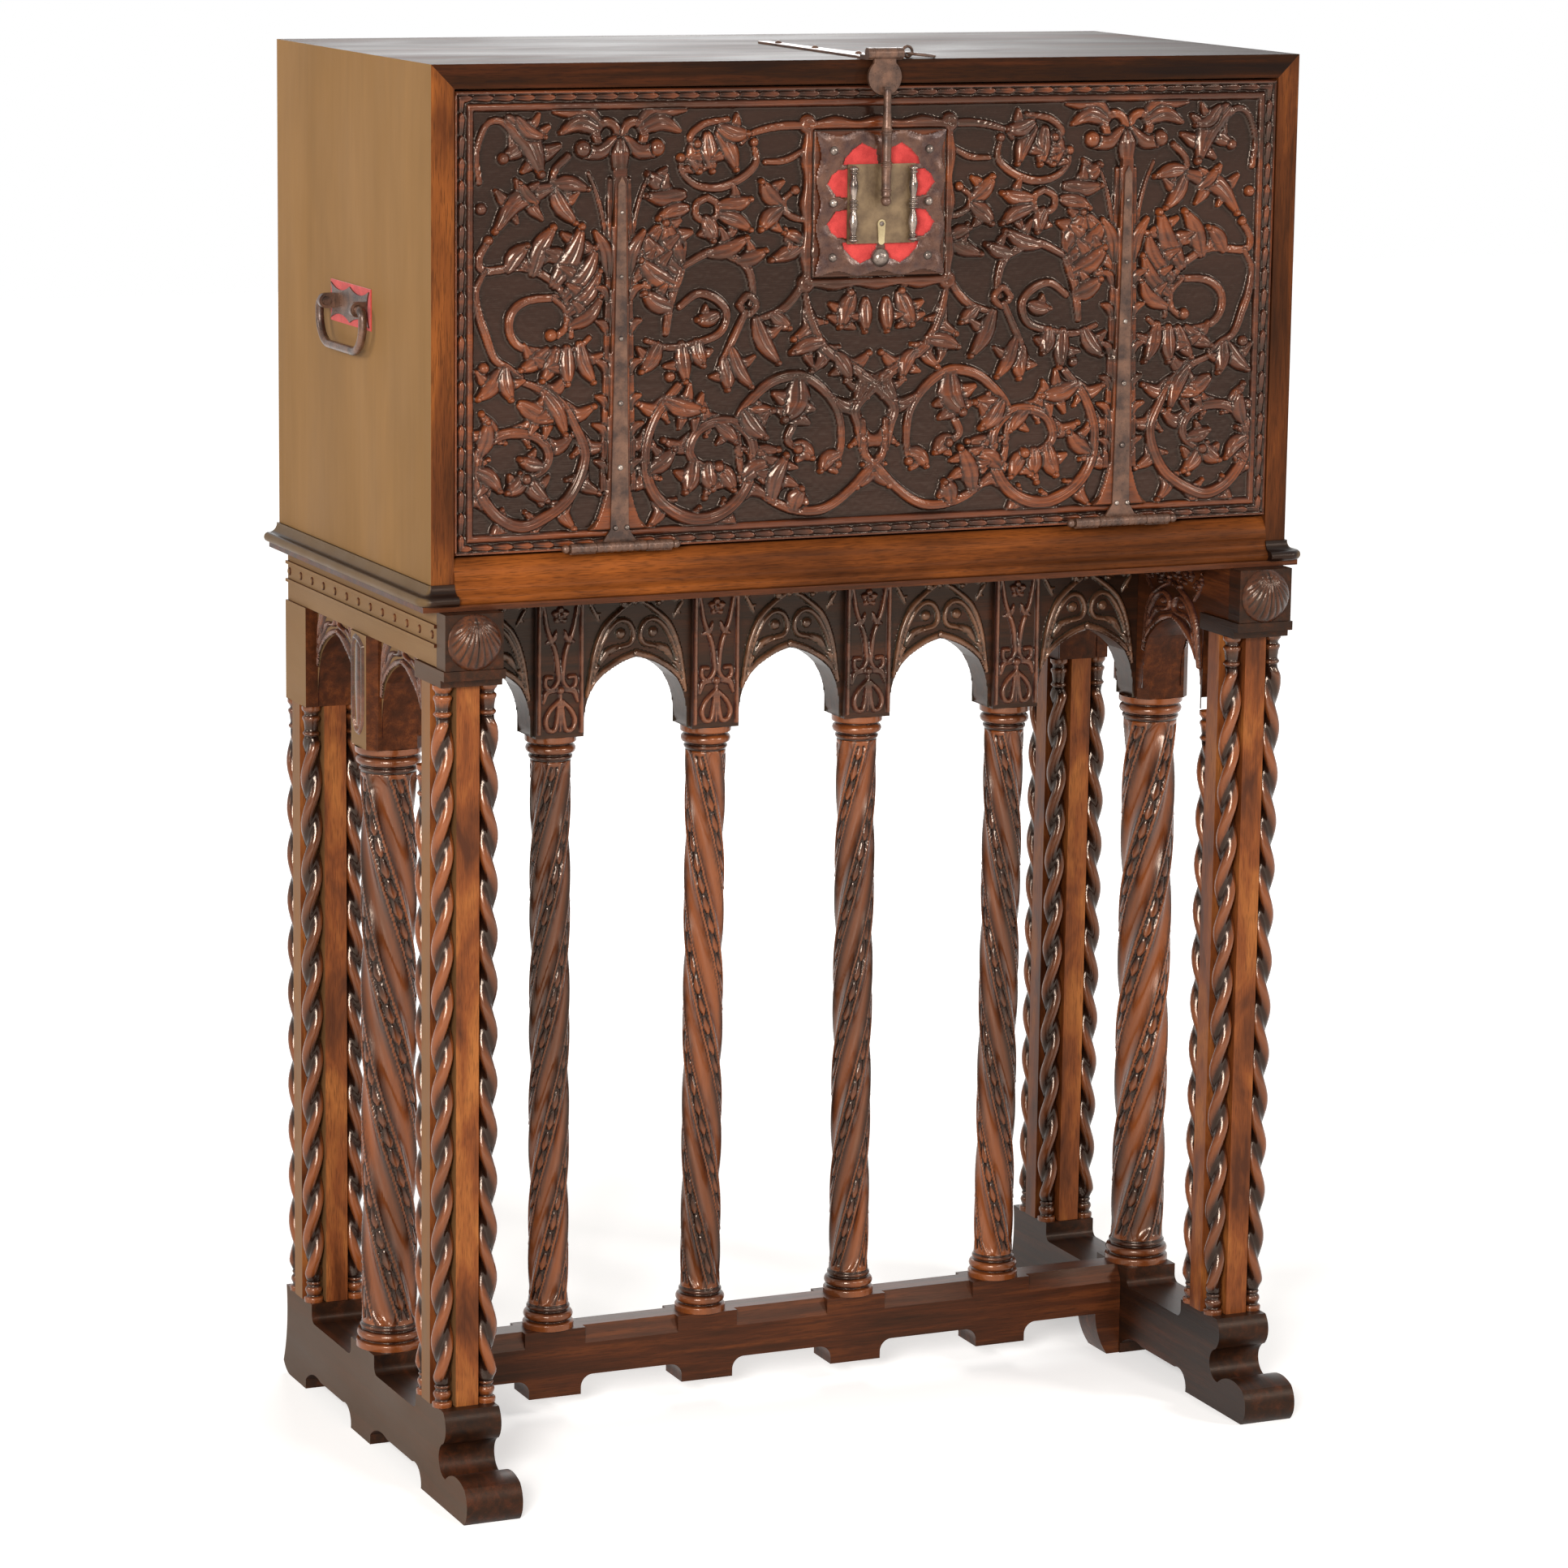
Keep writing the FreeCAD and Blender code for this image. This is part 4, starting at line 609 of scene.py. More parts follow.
# Stems: radii and height, then the curve.
fall_stems = (
    ((3.5, 3.5, 4.5), 6, (447, 395), (450, 425), (440, 452), (425, 457), (412, 445), (413, 425),
     (422, 418)),
    ((4, 4, 3), 6, (350, 420), (365, 405), (367, 385)),
    ((4, 5, 3), 6, (437, 335), (447, 318), (440, 305), (400, 308), (375, 298), (355, 280), (348, 255),
     (345, 235)),
    ((3, 5, 3.5), 6, (440, 305), (450, 285), (447, 260), (440, 240), (430, 215), (415, 205), (400, 195)),
    ((4, 5, 4, 3), 6, (362, 276), (395, 273), (412, 260), (413, 240), (400, 225), (370, 220), (340, 222),
     (325, 233)),
    ((3, 3.5, 4), 6, (365, 275), (352, 262), (352, 245), (362, 236)),
    ((3, 5, 5.5, 5, 4), 6.5, (400, 190), (375, 180), (355, 165), (340, 140), (330, 115), (335, 90),
     (350, 65), (375, 48), (400, 40), (425, 50), (445, 75), (450, 100), (445, 120), (425, 135),
     (400, 137), (380, 130), (370, 115), (375, 100), (395, 88)),
    ((4, 4.5, 3), 6, (60, 446), (110, 447), (145, 440), (157, 430)),
    ((3, 4, 3), 6, (80, 425), (105, 412), (130, 410)),
    ((3, 4.5, 5, 4, 3), 6, (143, 430), (140, 410), (155, 395), (180, 385), (205, 387), (222, 400),
     (225, 415)),
    ((3, 4, 3.5), 6, (172, 455), (200, 450), (215, 437), (207, 428)),
    ((4, 4, 4), 6, (195, 375), (184, 368), (184, 356), (195, 350), (207, 356), (207, 368), (195, 375)),
    ((3, 4, 3.5, 3), 6, (75, 350), (90, 350), (105, 357), (108, 370), (95, 380)),
    ((4, 5.5, 6, 5), 6.5, (240, 235), (235, 270), (225, 300), (222, 330)),
    ((4, 5, 5, 3.5), 6.5, (220, 305), (190, 318), (165, 312), (148, 300), (142, 275), (145, 262)),
    ((4, 5, 4.5, 4, 3), 6, (225, 262), (205, 275), (185, 270), (172, 255), (178, 235), (200, 225),
     (235, 220), (262, 228)),
    ((4, 4, 4), 7, (158, 262), (148, 272), (138, 262), (148, 252), (158, 262)),
    ((4, 4.5, 3), 6, (150, 255), (165, 225), (180, 195)),
    ((3, 5, 4.5, 3.5), 6, (140, 245), (110, 255), (90, 275), (80, 300), (73, 330)),
    ((3, 4.5, 5, 5, 4), 6.5, (82, 272), (75, 245), (60, 215), (40, 200), (20, 188), (0, 172), (-22, 150),
     (-18, 130), (-10, 100), (5, 85)),
    ((3, 3.5, 4), 6, (6, 288), (18, 290), (32, 284), (30, 272)),
    ((4, 5, 5.5, 5, 4), 6.5, (-14, 135), (-10, 100), (5, 85), (30, 60), (60, 43), (95, 45), (125, 60),
     (150, 80), (157, 110)),
    ((4, 5.5, 6, 5, 4), 6.5, (155, 105), (158, 140), (140, 165), (115, 182), (85, 185), (60, 170),
     (42, 145), (38, 115), (42, 92)),
    ((3, 4.5, 5, 4), 6, (90, 180), (78, 165), (83, 150), (95, 132), (100, 118), (88, 108)),
    ((4, 5, 6, 5.5, 5, 4), 6.5, (225, 180), (250, 150), (262, 115), (258, 80), (240, 55), (210, 40),
     (180, 42), (155, 60), (140, 90), (142, 120), (160, 138), (185, 140), (205, 130), (212, 110),
     (200, 95), (180, 93)),
)

# Leaves: width, lobes, bend, root and tip.
fall_leaves = (
    (24, 3, 0.15, 414, 457, 380, 402), (15, 2, -0.2, 405, 458, 376, 440), (16, 2, 0.1, 367, 392, 328, 386),
    (17, 2, -0.1, 366, 386, 342, 352), (20, 3, -0.2, 370, 388, 430, 345), (13, 2, 0.1, 385, 374, 403, 394),
    (18, 2, 0.1, 422, 202, 448, 174), (17, 2, -0.1, 418, 203, 412, 172), (18, 2, 0.1, 415, 306, 395, 330),
    (20, 2, 0.1, 388, 302, 366, 348), (22, 3, -0.1, 364, 290, 335, 348), (20, 2, -0.15, 352, 276, 319, 326),
    (18, 2, -0.15, 348, 260, 315, 302), (16, 2, -0.2, 346, 246, 313, 276), (17, 2, 0.1, 372, 221, 402, 202),
    (17, 2, 0.1, 362, 221, 378, 190), (18, 2, 0.0, 350, 222, 350, 186), (17, 2, -0.1, 336, 226, 321, 187),
    (19, 3, -0.1, 400, 166, 362, 150), (17, 2, 0.1, 375, 178, 352, 134), (17, 2, 0.15, 450, 100, 424, 78),
    (18, 2, -0.1, 394, 90, 372, 66), (18, 2, 0.1, 396, 90, 416, 76), (18, 2, -0.1, 444, 118, 438, 150),
    (16, 2, 0.1, 378, 102, 402, 110), (20, 3, -0.1, 208, 432, 205, 402), (19, 2, 0.0, 195, 438, 190, 402),
    (18, 2, 0.1, 182, 440, 163, 403), (18, 2, -0.15, 180, 446, 150, 440), (18, 2, 0.1, 238, 385, 262, 400),
    (18, 2, 0.1, 222, 378, 264, 378), (17, 2, -0.1, 218, 364, 250, 354), (18, 2, 0.1, 196, 352, 188, 330),
    (17, 2, -0.1, 180, 366, 146, 372), (17, 2, 0.1, 180, 356, 146, 340), (18, 2, 0.1, 112, 366, 134, 390),
    (18, 2, -0.1, 112, 360, 134, 340), (18, 2, 0.1, 78, 332, 122, 308), (14, 2, -0.1, 86, 326, 108, 336),
    (24, 3, 0.1, 226, 312, 242, 350), (22, 3, 0.1, 228, 300, 268, 338), (22, 3, 0.1, 232, 285, 270, 312),
    (20, 2, 0.1, 236, 262, 265, 278), (18, 2, -0.1, 190, 316, 150, 332), (16, 2, -0.1, 158, 308, 128, 318),
    (18, 2, 0.1, 248, 222, 268, 196), (18, 2, 0.0, 222, 222, 218, 184), (18, 2, -0.1, 205, 224, 198, 200),
    (16, 2, 0.1, 182, 252, 205, 248), (18, 2, 0.1, 174, 205, 170, 174), (16, 2, -0.1, 165, 215, 143, 176),
    (16, 2, 0.0, 118, 250, 100, 236), (18, 2, -0.1, 138, 246, 112, 200), (18, 2, -0.1, 62, 220, 97, 210),
    (17, 2, 0.1, 44, 206, 30, 180), (15, 2, 0.1, 12, 184, 24, 156), (20, 3, 0.0, 28, 268, 42, 236),
    (16, 2, 0.0, 12, 262, 13, 230), (26, 3, 0.2, 88, 180, 104, 140), (18, 2, 0.1, 90, 112, 72, 98),
    (17, 2, -0.2, 42, 100, 62, 84), (20, 2, 0.1, 152, 140, 118, 150), (20, 2, -0.1, 150, 148, 126, 122),
    (20, 3, 0.1, 148, 82, 122, 96), (20, 3, 0.1, 118, 56, 102, 102), (20, 2, 0.1, 92, 46, 84, 66),
    (18, 2, -0.1, 256, 92, 230, 114), (20, 2, 0.1, 206, 98, 217, 68), (20, 2, -0.1, 190, 94, 186, 70),
    (18, 2, 0.1, 178, 92, 162, 68), (20, 3, -0.1, 238, 164, 198, 154), (16, 2, 0.1, 180, 138, 160, 118),
)

# Round seeds and curl ends: radius, height and centre.
fall_balls = (
    (6, 7, 421, 419), (6, 6, 445, 368), (6, 6, 442, 205), (6.5, 7, 368, 237), (6, 6, 235, 190),
    (6, 7, 395, 89), (5, 6, 207, 430), (5, 6, 95, 380), (6, 7, 179, 93), (5.5, 7, 88, 108),
    (5, 6, 437, 336), (5, 6, 143, 431), (5, 6, 225, 416), (5, 6, 42, 90), (4.5, 6, 30, 272),
)

table_z = 1000
long_stem = 9
shoot_spacing = 33
shoot_length = 37
border_width = 21
strap_bed_top = 8.2
strap_foot_top = 1080
lock_bed_top = 7.9
lock_frame_half_x = 75.5
lock_frame_half_z = 76.5
lock_frame_half_width = 6.5
wave_length = 50


def placed(points):
    return [(-left, table_z + up) for left, up in points]


def strap_bed_half(z):
    """Half width of the raised bed of a hinge strap."""
    foot = 33 - 20.5 * unit((z - 1033.5) / 45) ** 0.5
    slim = np.interp(z, (1078.0, 1405.5, 1430.5), (12.6, 6.6, 0.0))
    return np.maximum(np.where(z < strap_foot_top, foot, 0), slim)


def add_strap_column(field):
    """The ribs beside a hinge strap, the small leaves along them and the leafy finial above."""
    centre = -strap_place
    for side in (-1, 1):
        rib = [(strap_bed_half(z) + 3.5, z) for z in (1075, 1160, 1260, 1340, 1395)]
        field.stroke(beside(side, rib, centre), (4.2, 4.0, 3.6, 3.0), 7.5, 2.0, 0.15)
        spray = ((13, 1310), (17, 1350), (24, 1378), (34, 1402))
        field.stroke(beside(side, spray, centre), (2.6, 3, 2.2), 5, 1.2, 0.0)
        for z, length in ((1092, 13), (1128, 15), (1160, 12), (1196, 13), (1238, 12), (1272, 14)):
            leaf = ((13, z), (13 + length, z + length))
            field.petal(*beside(side, leaf, centre), 12, side * 0.2, 8)
        field.petal(*beside(side, ((12, 1300), (27, 1342)), centre), 19, side * 0.1, 9)
        loop = [(15 + 12 * math.cos(turn), 1441 + 13 * math.sin(turn)) for turn in np.linspace(0, TURN, 9)]
        field.stroke(beside(side, loop, centre), (5.6, 5.6), 9.5, 1.4, 0.2)
        field.stroke(beside(side, ((6, 1436), (22, 1424), (38, 1425)), centre), (6, 9, 9), 9.5)
        field.ball((centre + side * 41, 1427), 9.5, 10)
        field.petal(*beside(side, ((22, 1450), (72, 1466)), centre), 24, side * 0.15, 9)
        field.petal(*beside(side, ((24, 1446), (66, 1444)), centre), 20, side * 0.2, 9)
    field.stroke([(centre, 1434), (centre, 1418), (centre, 1398)], (6, 12, 10, 3.5), 10.5, 2.0, 0.25)


def fall_field():
    """The whole carved front of the fall, as heights above its sunk ground."""
    field = Field(-fall_half, fall_half, fall_bottom, fall_top, 1.2)
    for radii, top, *points in fall_stems:
        thicker = 1.05
        if len(points) > long_stem:
            thicker = 1.3
            field.shoots(placed(points), shoot_spacing, shoot_length, top + 1.5)
        field.stroke(placed(points), [radius * thicker for radius in radii], top + 2.5, 2.2, 0.3)
    for width, lobes, bend, *ends in fall_leaves:
        field.leaf(*placed((ends[:2], ends[2:])), width * 2.0, lobes, bend)
    for radius, top, *centre in fall_balls:
        field.ball(*placed([centre]), radius + 0.5, top + 2)
    add_strap_column(field)
    field.height = np.maximum(field.height, field.height[:, ::-1])
    return field


def lock_frame_heights(x, z, height):
    """The carved strapwork that holds the lock plate, and the flat bed inside it."""
    over_x = np.abs(x) - lock_frame_half_x
    over_z = np.abs(z - lock_z) - lock_frame_half_z
    out = np.maximum(over_x, over_z)
    along = np.where(over_x > over_z, z - lock_z, x)
    half = lock_frame_half_width
    wave = 1.1 * np.cos(along * TURN / wave_length)
    rim = dome((out - half - wave) / (half + wave))
    rim = 9.5 * rim - 1.6 * peak(out - half, 1.4) * (rim > 0)
    corner = np.hypot(over_x - half, over_z - half)
    knob = 10.5 * dome(corner / 11.0) * (1 - 0.5 * peak(corner, 3.5))
    height = np.maximum(np.maximum(height, rim), knob)
    return np.where(out > 0, height, lock_bed_top)


def border_heights(edge, along):
    """The moulding round the fall: a fillet, a band of pointed tongues, and a plain round inside."""
    share = (along / 22.7) % 1.0
    width = 4.6 * np.maximum(tongue_width(share, 0.62, 0.97), 0.01)
    tongue = 7.4 * dome((edge - 7.2) / width) * (0.45 + 0.55 * share)
    tongue = tongue - 1.2 * peak(edge - 7.2, 0.9) * (tongue > 1.5)
    profile = np.where(edge < 2.4, 6.6, np.maximum(0.6, tongue))
    return np.where(edge > 12.2, 5.2 * dome((edge - 16.6) / 4.4), profile)


def add_fall():
    field = fall_field()
    x, z = np.meshgrid(field.x, field.z)
    bed = (np.abs(np.abs(x) - strap_place) < strap_bed_half(z)) & (z > fall_bottom + 20)
    height = np.where(bed, np.maximum(field.height, strap_bed_top), field.height)
    height = lock_frame_heights(x, z, height)
    beside_x = fall_half - np.abs(x)
    beside_z = np.minimum(z - fall_bottom, fall_top - z)
    edge = np.minimum(beside_x, beside_z)
    border = border_heights(edge, np.where(beside_x < beside_z, z - fall_bottom, x))
    height = np.where(edge < border_width, border, height)
    ripple = np.random.default_rng(7).normal(0, 1, height.shape)
    for _ in range(3):
        neighbours = [np.roll(ripple, turn, axis) for turn in (1, -1) for axis in (0, 1)]
        ripple = (ripple + sum(neighbours)) / 5
    height = height + ripple * np.where(height < 0.2, 0.22, 0.12)
    y = ground_y - 0.2 - np.maximum(height, -0.15)
    y[(0, -1), :] = y[:, (0, -1)] = ground_y + 0.5
    surface("fall_carving", [(stacked(x, y, z), wear_and_shade_relief(height, 4))], "carving", "fall",
            ("fall_border",))


# Columns

flutes = 4
band_share = 0.42
channel_depth = 3.2
husk_rise = 3.6
husk_length = 23.0
flute_end = 16.0
column_base = 28
# Height above the foot of the base, and how far the turning stands out of the shaft.
column_steps = ((8.2, 1.2), (9.5, 1.0), (11.5, 4.0), (15.0, 5.2), (18.5, 3.8), (20.0, 0.2), (21.5, -0.2),
                (22.5, 1.6), (25.0, 1.6), (26.5, 0.1), (column_base, 0.0))


def spiral_shaft(radius, low, high, turns, hand, sides, step):
    """Rows of a spiral shaft: hollow flutes with round ends, and husks in channels between fillets."""
    height = np.linspace(low, high, int((high - low) / step))[:, None]
    angle = around(sides)
    phase = (angle - hand * TURN * turns * (height - low) / (high - low)) * flutes / TURN % 1.0
    hollow = unit((phase - band_share) / (1 - band_share))
    ends = unit(np.minimum(height - low, high - height) / flute_end)
    flute = np.sqrt(unit(np.sin(math.pi * hollow) ** 2 - (1 - ends) ** 2))
    across = (phase - band_share / 2) / (band_share * 0.33)
    share = ((high - height) / husk_length + 0.12 * across ** 2) % 1.0
    husk = dome(across / np.maximum(tongue_width(share, 0.5, 0.94), 0.01)) * (0.35 + 0.65 * share)
    inside = (phase < band_share) & (np.abs(across) < 1.05) & (ends > 0.3)
    shaft = np.where(inside, radius - channel_depth + husk_rise * husk, radius * (1 - 0.22 * flute))
    # Relief values for painted shade and light: each flute is dark at its edges and light in its middle, the
    # channel round the husks is dark and the fillets light.
    relief = np.where(phase < band_share, 0.85, 0.32 + 0.68 * np.sin(math.pi * hollow) ** 1.3)
    return ring_points(shaft, angle, height), np.where(inside, 0.95 * husk, relief)


def turned_rows(profile, sides, step=1.2):
    """Rows of a turned piece; the corners between its points are rounded."""
    profile = curve_through(profile, step)
    radius, height = profile[:, :1], profile[:, 1:]
    points = ring_points(radius, around(sides), height)
    low, high = radius.min(), radius.max()
    # Narrow parts of a turning get a low relief value, which paints shade into its grooves in carved woods.
    relief = 0.25 + 0.6 * (radius - low) / max(high - low, 0.1)
    return points, np.broadcast_to(relief, points.shape[:2])


def joined(*parts):
    return [np.concatenate(kind) for kind in zip(*parts)]


def column_profile(ring, shaft, low, direction):
    """A turned base, read upwards from low; direction -1 turns it over."""
    levels = [(0.0, ring), (0.8, ring), (5.0, ring), (7.0, ring * 0.98)]
    levels += [(up, shaft + out) for up, out in column_steps]
    return [(radius, low + direction * up) for up, radius in levels]


def add_column(name, x, shaft, ring, hand, turns):
    sides = 120
    base = turned_rows(column_profile(ring, shaft, seat_z, 1), sides)
    cap = turned_rows(column_profile(ring, shaft, pier_bottom, -1)[::-1], sides)
    low, high = seat_z + column_base, pier_bottom - column_base
    points, relief = joined(base, spiral_shaft(shaft, low, high, turns, hand, sides, 2.0), cap)
    grid = points + (x, middle_y, 0), relief
    surface(name + "_carved", [grid], "turned_wood", replaced=(name,), wrap=True)


def add_columns():
    add_column("column_end_left", -post_x, 30.5, 36.5, -1, 1.06)
    add_column("column_end_right", post_x, 30.5, 36.5, 1, 1.06)
    for index in range(4):
        hand = 1 if index % 2 == 0 else -1
        add_column("column_arcade_" + str(index + 1), bay_pitch * (index - 1.5), 22.5, 28.5, hand, 1.18)


# Colonettes

colonette_offset = 24.5
twist_pitch = 106.0
colonette_base = ((10.5, 0), (10.5, 5), (7.5, 7), (8.8, 11), (9.6, 14), (8.6, 17), (7, 19), (8.4, 22),
                  (7.2, 24))
colonette_cap = ((7.2, 34), (9.0, 32), (9.6, 30), (7.6, 27), (8.0, 22), (8.8, 17), (9.8, 15), (9.8, 12),
                 (7.6, 10), (8.4, 7), (10.5, 4), (10.5, 0))


def colonette_rows(top, hand):
    """A slender two-strand twist between turned rings."""
    sides = 28
    low, high = seat_z + colonette_base[-1][1], top - colonette_cap[0][1]
    height = np.linspace(low, high, int((high - low) / (3.0)))[:, None]
    angle = around(sides)
    ends = unit(np.minimum(height - low, high - height) / 10.0)
    strand = np.abs(np.cos(angle - hand * TURN * (height - low) / twist_pitch)) ** 1.7 * ends
    shaft = ring_points(5.6 + 6.4 * strand + 1.8 * (1 - ends), angle, height)
    base = turned_rows([(radius, seat_z + up) for radius, up in colonette_base], sides)
    cap = turned_rows([(radius, top - down) for radius, down in colonette_cap], sides)
    # The grooves between the strands get a low relief value, which paints shade into them, and the strands
    # lighter tops.
    return joined(base, (shaft, 0.04 + 0.9 * strand), cap)


def add_colonettes():
    posts = ((front_post_y, front_post_top, "f"), (back_post_y, back_post_top, "b"))
    for post_y, front_top, post_word in posts:
        for side, side_word in flanks:
            for along, along_word, top in ((-1, "f", front_top), (1, "b", back_post_top)):
                for across, across_word in flanks:
                    points, relief = colonette_rows(top, across * along)
                    place = (side * post_x + across * colonette_offset, post_y + along * colonette_offset, 0)
                    surface("twist_" + post_word + side_word[0] + "_" + along_word + across_word[0],
                            [(points + place, relief)], "turned_wood", replaced=("colonettes",), wrap=True)


# Arcade, end beams, friezes and shells

arch_half = 61.0
arch_low = 775.0
arch_rise = 83.0
arch_edge_shares = ((0.0, 1.0), (0.27, 0.945), (0.5, 0.86), (0.66, 0.785), (0.8, 0.68), (0.89, 0.56),
                    (0.95, 0.42), (0.985, 0.28), (1.0, 0.1))
carving_low = 776
carving_top = 955
spandrel_half = 63.5
spandrel_out = 20
pilaster_half = 27.6
pilaster_out = 27
sunk = 0.4


def spandrel_field():
    """Carving over one arch: a rib on its edge, two mouchettes that meet at the top, and rough ground."""
    field = Field(-spandrel_half, spandrel_half, carving_low, carving_top, 1.5)
    rim = [(share * arch_half, arch_low + up * arch_rise) for share, up in arch_edge_shares]
    edge = [(x + 3.6 * (x / arch_half) ** 2, z + 4.4 * (1 - x / arch_half) + 0.6) for x, z in rim]
    edge = [(x, z) for x, z in edge if x < 60]
    tear = ((55, 834), (43, 854), (27, 868), (9, 873), (4, 884), (10, 897), (22, 899), (34, 888), (45, 866),
            (55, 834))
    cusp = ((44, 853), (34, 866), (22, 872))
    outer = ((4, 921), (20, 910), (38, 893), (50, 864), (58, 818))
    for side in (-1, 1):
        field.stroke(beside(side, edge), (4.2, 4.0, 3.6), 4.6, 0.9, 0.0)
        field.stroke(beside(side, tear), (3.1, 3.3, 3.3, 3.1), 4.2)
        field.stroke(beside(side, cusp), (2.0, 4.6, 2.0), 3.0)
        field.ball((side * 19, 885), 6.0, 3.4)
        field.stroke(beside(side, outer), (3.0, 3.8, 3.4, 2.6), 4.4)
        field.leaf(*beside(side, ((44, 900), (58, 925))), 9, 2, 0.0, 3.6)
    pebbles = np.random.default_rng(3)
    for x, z in pebbles.uniform((-62, 915), (62, 953), (60, 2)):
        field.ball((x, z), pebbles.uniform(2.8, 5.5), pebbles.uniform(2.0, 4.2))
    return field


def pilaster_field():
    """Carving of one pilaster: a flower, stems that curl into volutes, a knot and two drops."""
    field = Field(-pilaster_half, pilaster_half, carving_low, carving_top, 1.2)
    stem = ((20, 922), (15, 895), (6, 870), (3, 850), (3, 838), (10, 829), (17, 833), (17, 842), (10, 842))
    drop = ((2, 816), (12, 806), (17, 795), (14, 785), (7, 784), (4, 794), (2, 812))
    for side in (-1, 1):
        field.stroke(beside(side, ((24.8, 781), (24.8, 953))), (2.6, 2.6), 4.0)
        field.stroke(beside(side, stem), (2.4, 3.3, 3.3, 2.8), 4.4)
        field.petal(*beside(side, ((3, 828), (20, 814))), 8, side * 0.3, 4.4)
        field.petal(*beside(side, ((16, 880), (5, 893))), 7, side * 0.2, 3.8)
        field.stroke(beside(side, drop), (2.6, 3.3, 3.1, 2.6), 4.4)
    field.stroke([(0, 824), (0, 800), (0, 783)], (2.4, 2.0, 1.6), 4.2)
    field.ball((0, 828), 5.0, 5.0)
    for index in range(5):
        angle = math.radians(90 + 72 * index)
        field.petal((0, 910), (9 * math.cos(angle), 910 + 9 * math.sin(angle)), 9.5, 0, 4.4)
    field.ball((0, 910), 2.6, 5.2)
    for z in (934, 946):
        field.stroke([(-18, z), (0, z + 5), (18, z)], (1.8, 2.4, 1.8), 3.2)
    return field


def over_arch(field):
    """Quads whose middle lies over the edge of the arch."""
    x = np.abs(field.x[:-1] + field.x[1:]) / 2
    z = (field.z[:-1] + field.z[1:]) / 2
    edge = arch_low + arch_rise * np.interp(x / arch_half, *zip(*arch_edge_shares))
    return z[:, None] > np.where(x < arch_half, edge, arch_low)[None, :] + 0.8


def add_arcade():
    spandrel, pilaster = spandrel_field(), pilaster_field()
    spandrel.height *= 1.45
    pilaster.height *= 1.35
    for name, field, count, out, material, keep in (
            ("arcade_spandrels", spandrel, 5, spandrel_out, "spandrel_wood", over_arch(spandrel)),
            ("arcade_pilasters", pilaster, 4, pilaster_out, "dark_carving", None)):
        relief = wear_and_shade_relief(field.height)
        grids = []
        for facing in (-1, 1):
            x, z = np.meshgrid(field.x[::-facing], field.z)
            y = middle_y + facing * (out + field.height[:, ::-facing] - sunk)
            marks = None if keep is None else keep[:, ::-facing]
            for index in range(count):
                centre = bay_pitch * (index - (count - 1) / 2)
                grids.append((stacked(x + centre, y, z), relief[:, ::-facing], marks))
        surface(name, grids, material)


def end_panel():
    """The sunk panel on the pier between the two end arches: a pointed frame round a leaf."""
    panel = Field(-23.5, 23.5, 777, 897, 1.5)
    outline = ((-15, 885), (-15, 815), (-10, 798), (0, 791), (10, 798), (15, 815), (15, 885), (0, 892),
               (-15, 885))
    panel.stroke(outline, (2.6, 2.6), 3.2)
    panel.stroke([(0, 884), (0, 830), (0, 800)], (7, 8, 4), 3.4)
    return panel


def add_end_beams():
    spandrel, panel = spandrel_field(), end_panel()
    spandrel.height *= 1.3
    relief = wear_and_shade_relief(spandrel.height)
    keep = over_arch(spandrel)
    x, z = np.meshgrid(spandrel.x, spandrel.z)
    stretched = np.where(z < 858, 788 + (z - arch_low) * 92 / arch_rise, 880 + (z - 858) * 0.65)
    for side, word in flanks:
        grids = []
        for face, outward in ((side * 482.5, side), (side * 432.5, -side)):
            marks = keep[:, ::-outward] & ((stretched[:-1, :-1] < 896) | (outward != side))
            face_x = face + outward * (spandrel.height[:, ::-outward] - sunk)
            for low, high in ((-146.2, -6.0), (62.0, 202.5)):
                y = (low + high) / 2 + x[:, ::-outward] * (high - low) / (2 * arch_half) * 0.985
                grids.append((stacked(face_x, y, stretched), relief[:, ::-outward], marks))
        y, z = np.meshgrid(panel.x[::-side], panel.z)
        face_x = side * (496.8 + panel.height - sunk)
        grids.append((stacked(face_x, y + middle_y, z), 0.5 + panel.height / 7.0))
        surface("end_carving_" + word, grids, "dark_carving")
        dots = [dome_rows((side * 493.6, y, 931), 4.6, 2.6, (side, 0, 0)) for y in range(-192, 265, 38)]
        surface("frieze_dots_" + word, dots, "end_wood", wrap=True)


def dome_rows(centre, radius, height, axis, sides=20):
    """Grid of a domed head on a flat seat; the axis points out of the seat."""
    first = np.cross(axis, (0.3, 0.5, 0.81))
    first /= np.linalg.norm(first)
    second = np.cross(axis, first)
    tilt = np.linspace(0, math.pi / 2, 7)[:, None, None]
    angle = around(sides)[:, :, None]
    out = np.cos(angle) * first + np.sin(angle) * second
    points = centre + radius * np.cos(tilt) * out + height * np.sin(tilt) * np.array(axis)
    return points, 0.4 + 0.6 * np.sin(tilt[:, :, 0])


def add_shells():
    """A scallop shell over the dome of each loper head, its ribs spreading from the top."""
    radius, bulge = 29.4, 13.0
    sphere = (radius ** 2 + bulge ** 2) / (2 * bulge)
    share = np.linspace(0.02, 1, 26)[:, None]
    angle = around(120)
    u, w = radius * share * np.cos(angle), radius * share * np.sin(angle)
    back = np.sqrt(sphere ** 2 - (radius * share) ** 2) - (sphere - bulge)
    rim = peak(share - 0.93, 0.05)
    ribs = np.abs(np.sin(np.arctan2(u, 27 - w) * 17)) ** 0.6 * (1 - rim)
    height = back + 0.4 + 1.7 * ribs * unit((1 - share) * 8) + 0.9 * rim
    # The grooves between the ribs get a lower relief value, which paints shade into them.
    relief = unit(0.2 + 0.4 * ribs + 0.3 * rim)
    for side, word in flanks:
        points = stacked(side * post_x + u, loper_face_y - height, 927.3 + w)
        surface("shell_" + word, [(points, relief)], "end_carving", "loper_" + word, wrap=True)


# Lock

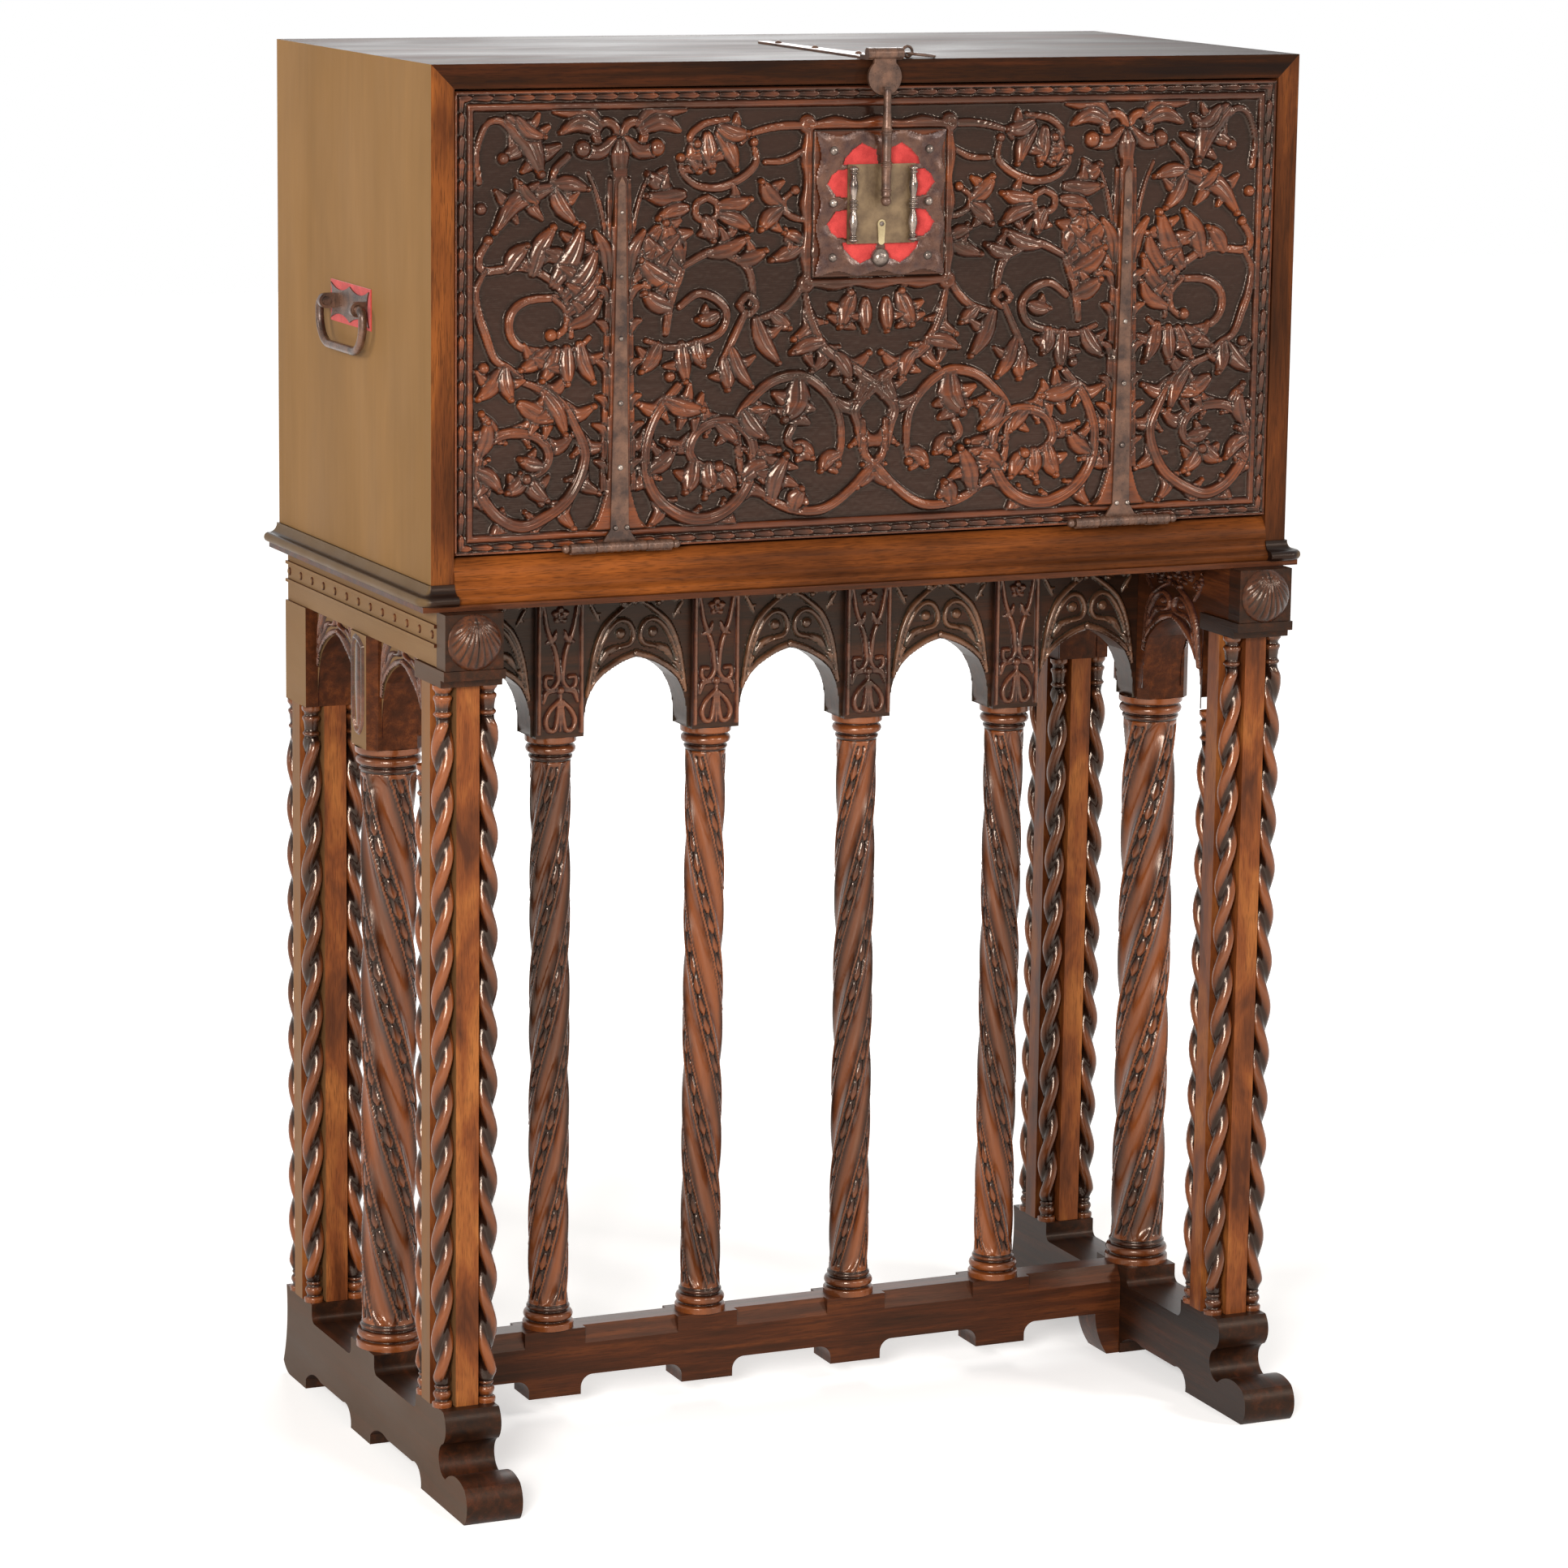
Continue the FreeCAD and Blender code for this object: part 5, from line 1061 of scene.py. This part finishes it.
plate_half_x = 75.0
plate_half_z = 76.0
scallop_depth = 2.4
bar_place = (34.5, -216.6, 0)
half_bar = ((2.4, -40), (5.0, -38), (5.0, -36.5), (2.8, -35), (4.6, -33), (2.8, -31), (3.4, -27), (4.8, -20),
            (3.8, -12), (2.6, -6), (4.8, -4), (2.8, -2))
rod_y = -222.5
rod_profile = ((3.2, 1372), (5.2, 1374), (5.0, 1378), (6.2, 1380), (5.0, 1382), (5.0, 1392), (5.3, 1402),
               (6.4, 1405), (5.2, 1407), (6.4, 1409), (5.0, 1411), (5.0, 1425), (5.2, 1436), (6.4, 1439),
               (5.0, 1441), (6.2, 1443), (4.8, 1446), (4.2, 1460), (4.0, 1484))
frontward = (0, -1, 0)
strap_face_y = -209.6


def add_lock_plate():
    """The scalloped plate with four ogee windows round its middle."""
    field = Field(-plate_half_x, plate_half_x, lock_z - plate_half_z, lock_z + plate_half_z, 1.0)
    x, z = np.meshgrid(field.x, field.z)
    u, w = np.abs(x), np.abs(z - lock_z)
    scallop_x = plate_half_x - 3.0 - scallop_depth * np.cos(w * TURN / wave_length)
    scallop_z = plate_half_z - 3.0 - scallop_depth * np.cos(u * TURN / wave_length)
    inner_x, inner_z = 38.0, 41.0
    over = np.interp(u, (4.5, 7, 23, 34, 42, 44), (inner_z, 56, 63, 56, 47, inner_z))
    beyond = np.interp(w, (5.5, 8, 21, 30, 35, 36.5), (inner_x, 52, 62, 57, 50, inner_x))
    ends = np.minimum(np.minimum(over - w, w - inner_z), np.minimum(u - 5.0, 44.5 - u))
    sides = np.minimum(np.minimum(beyond - u, u - inner_x), np.minimum(w - 6.5, 36.5 - w))
    metal = np.minimum(np.minimum(scallop_x - u, scallop_z - w), -np.maximum(ends, sides))
    ridge = unit(metal / 6.0)
    height = 1.8 + 1.5 * np.sqrt(ridge) + 0.8 * np.sin(u * 0.21) * np.cos(w * 0.19) * ridge
    plate = stacked(x, bed_y - 0.6 - height, z), 0.15 + 0.75 * ridge, metal[:-1, :-1] > 0
    surface("lock_plate_shaped", [plate], "lock_iron", "fall", ("lock_plate",))


def add_lock_details():
    """The round-headed nails and turned bars of the lock, and the rod of the hasp."""
    nails = []
    for side in (-1, 1):
        for up in (56.0, 1.5, -55.5):
            nails.append(dome_rows((side * 55, bed_y - 3.2, lock_z + up), 5.0, 4.6, frontward))
    nails.append(dome_rows((0, bed_y - 3.0, 1308.5), 10.5, 8.5, frontward, 32))
    nails.append(dome_rows((0, -213.6, 1344), 2.6, 1.6, frontward))
    surface("lock_studs", nails, "rubbed_iron", "fall", ("lock_nails",), wrap=True)
    bar = (*half_bar, (5.4, 0), *[(radius, -up) for radius, up in reversed(half_bar)])
    points, relief = turned_rows([(radius, lock_z + up) for radius, up in bar], 20, 0.6)
    for side, word in flanks:
        grid = points + np.array(bar_place) * (side, 1, 1), relief
        surface("lock_bar_" + word, [grid], "rubbed_iron", "fall", ("lock_balusters",), wrap=True)
    points, relief = turned_rows(rod_profile, 20, 0.6)
    surface("hasp_turnings", [(points + (0, rod_y, 0), relief)], "iron", "hasp", wrap=True)


def add_strap_nails():
    nails = []
    for side in (-1, 1):
        centre = side * strap_place
        for z, radius in ((1362, 2.0), (1296, 2.2), (1232, 2.8), (1165, 3.2), (1098, 3.4)):
            nails.append(dome_rows((centre, strap_face_y, z), radius, 0.8 * radius, frontward, 14))
        for offset in (-5, 8):
            nails.append(dome_rows((centre + offset, strap_face_y, 1035), 3.0, 2.4, frontward, 14))
    surface("strap_nails", nails, "rubbed_iron", "fall", wrap=True)


dress_nodes()
add_fall()
add_columns()
add_colonettes()
add_arcade()
add_end_beams()
add_shells()
add_lock_plate()
add_lock_details()
add_strap_nails()
add_camera()
add_surroundings()
add_floor()

bpy.context.scene.view_settings.view_transform = "Standard"
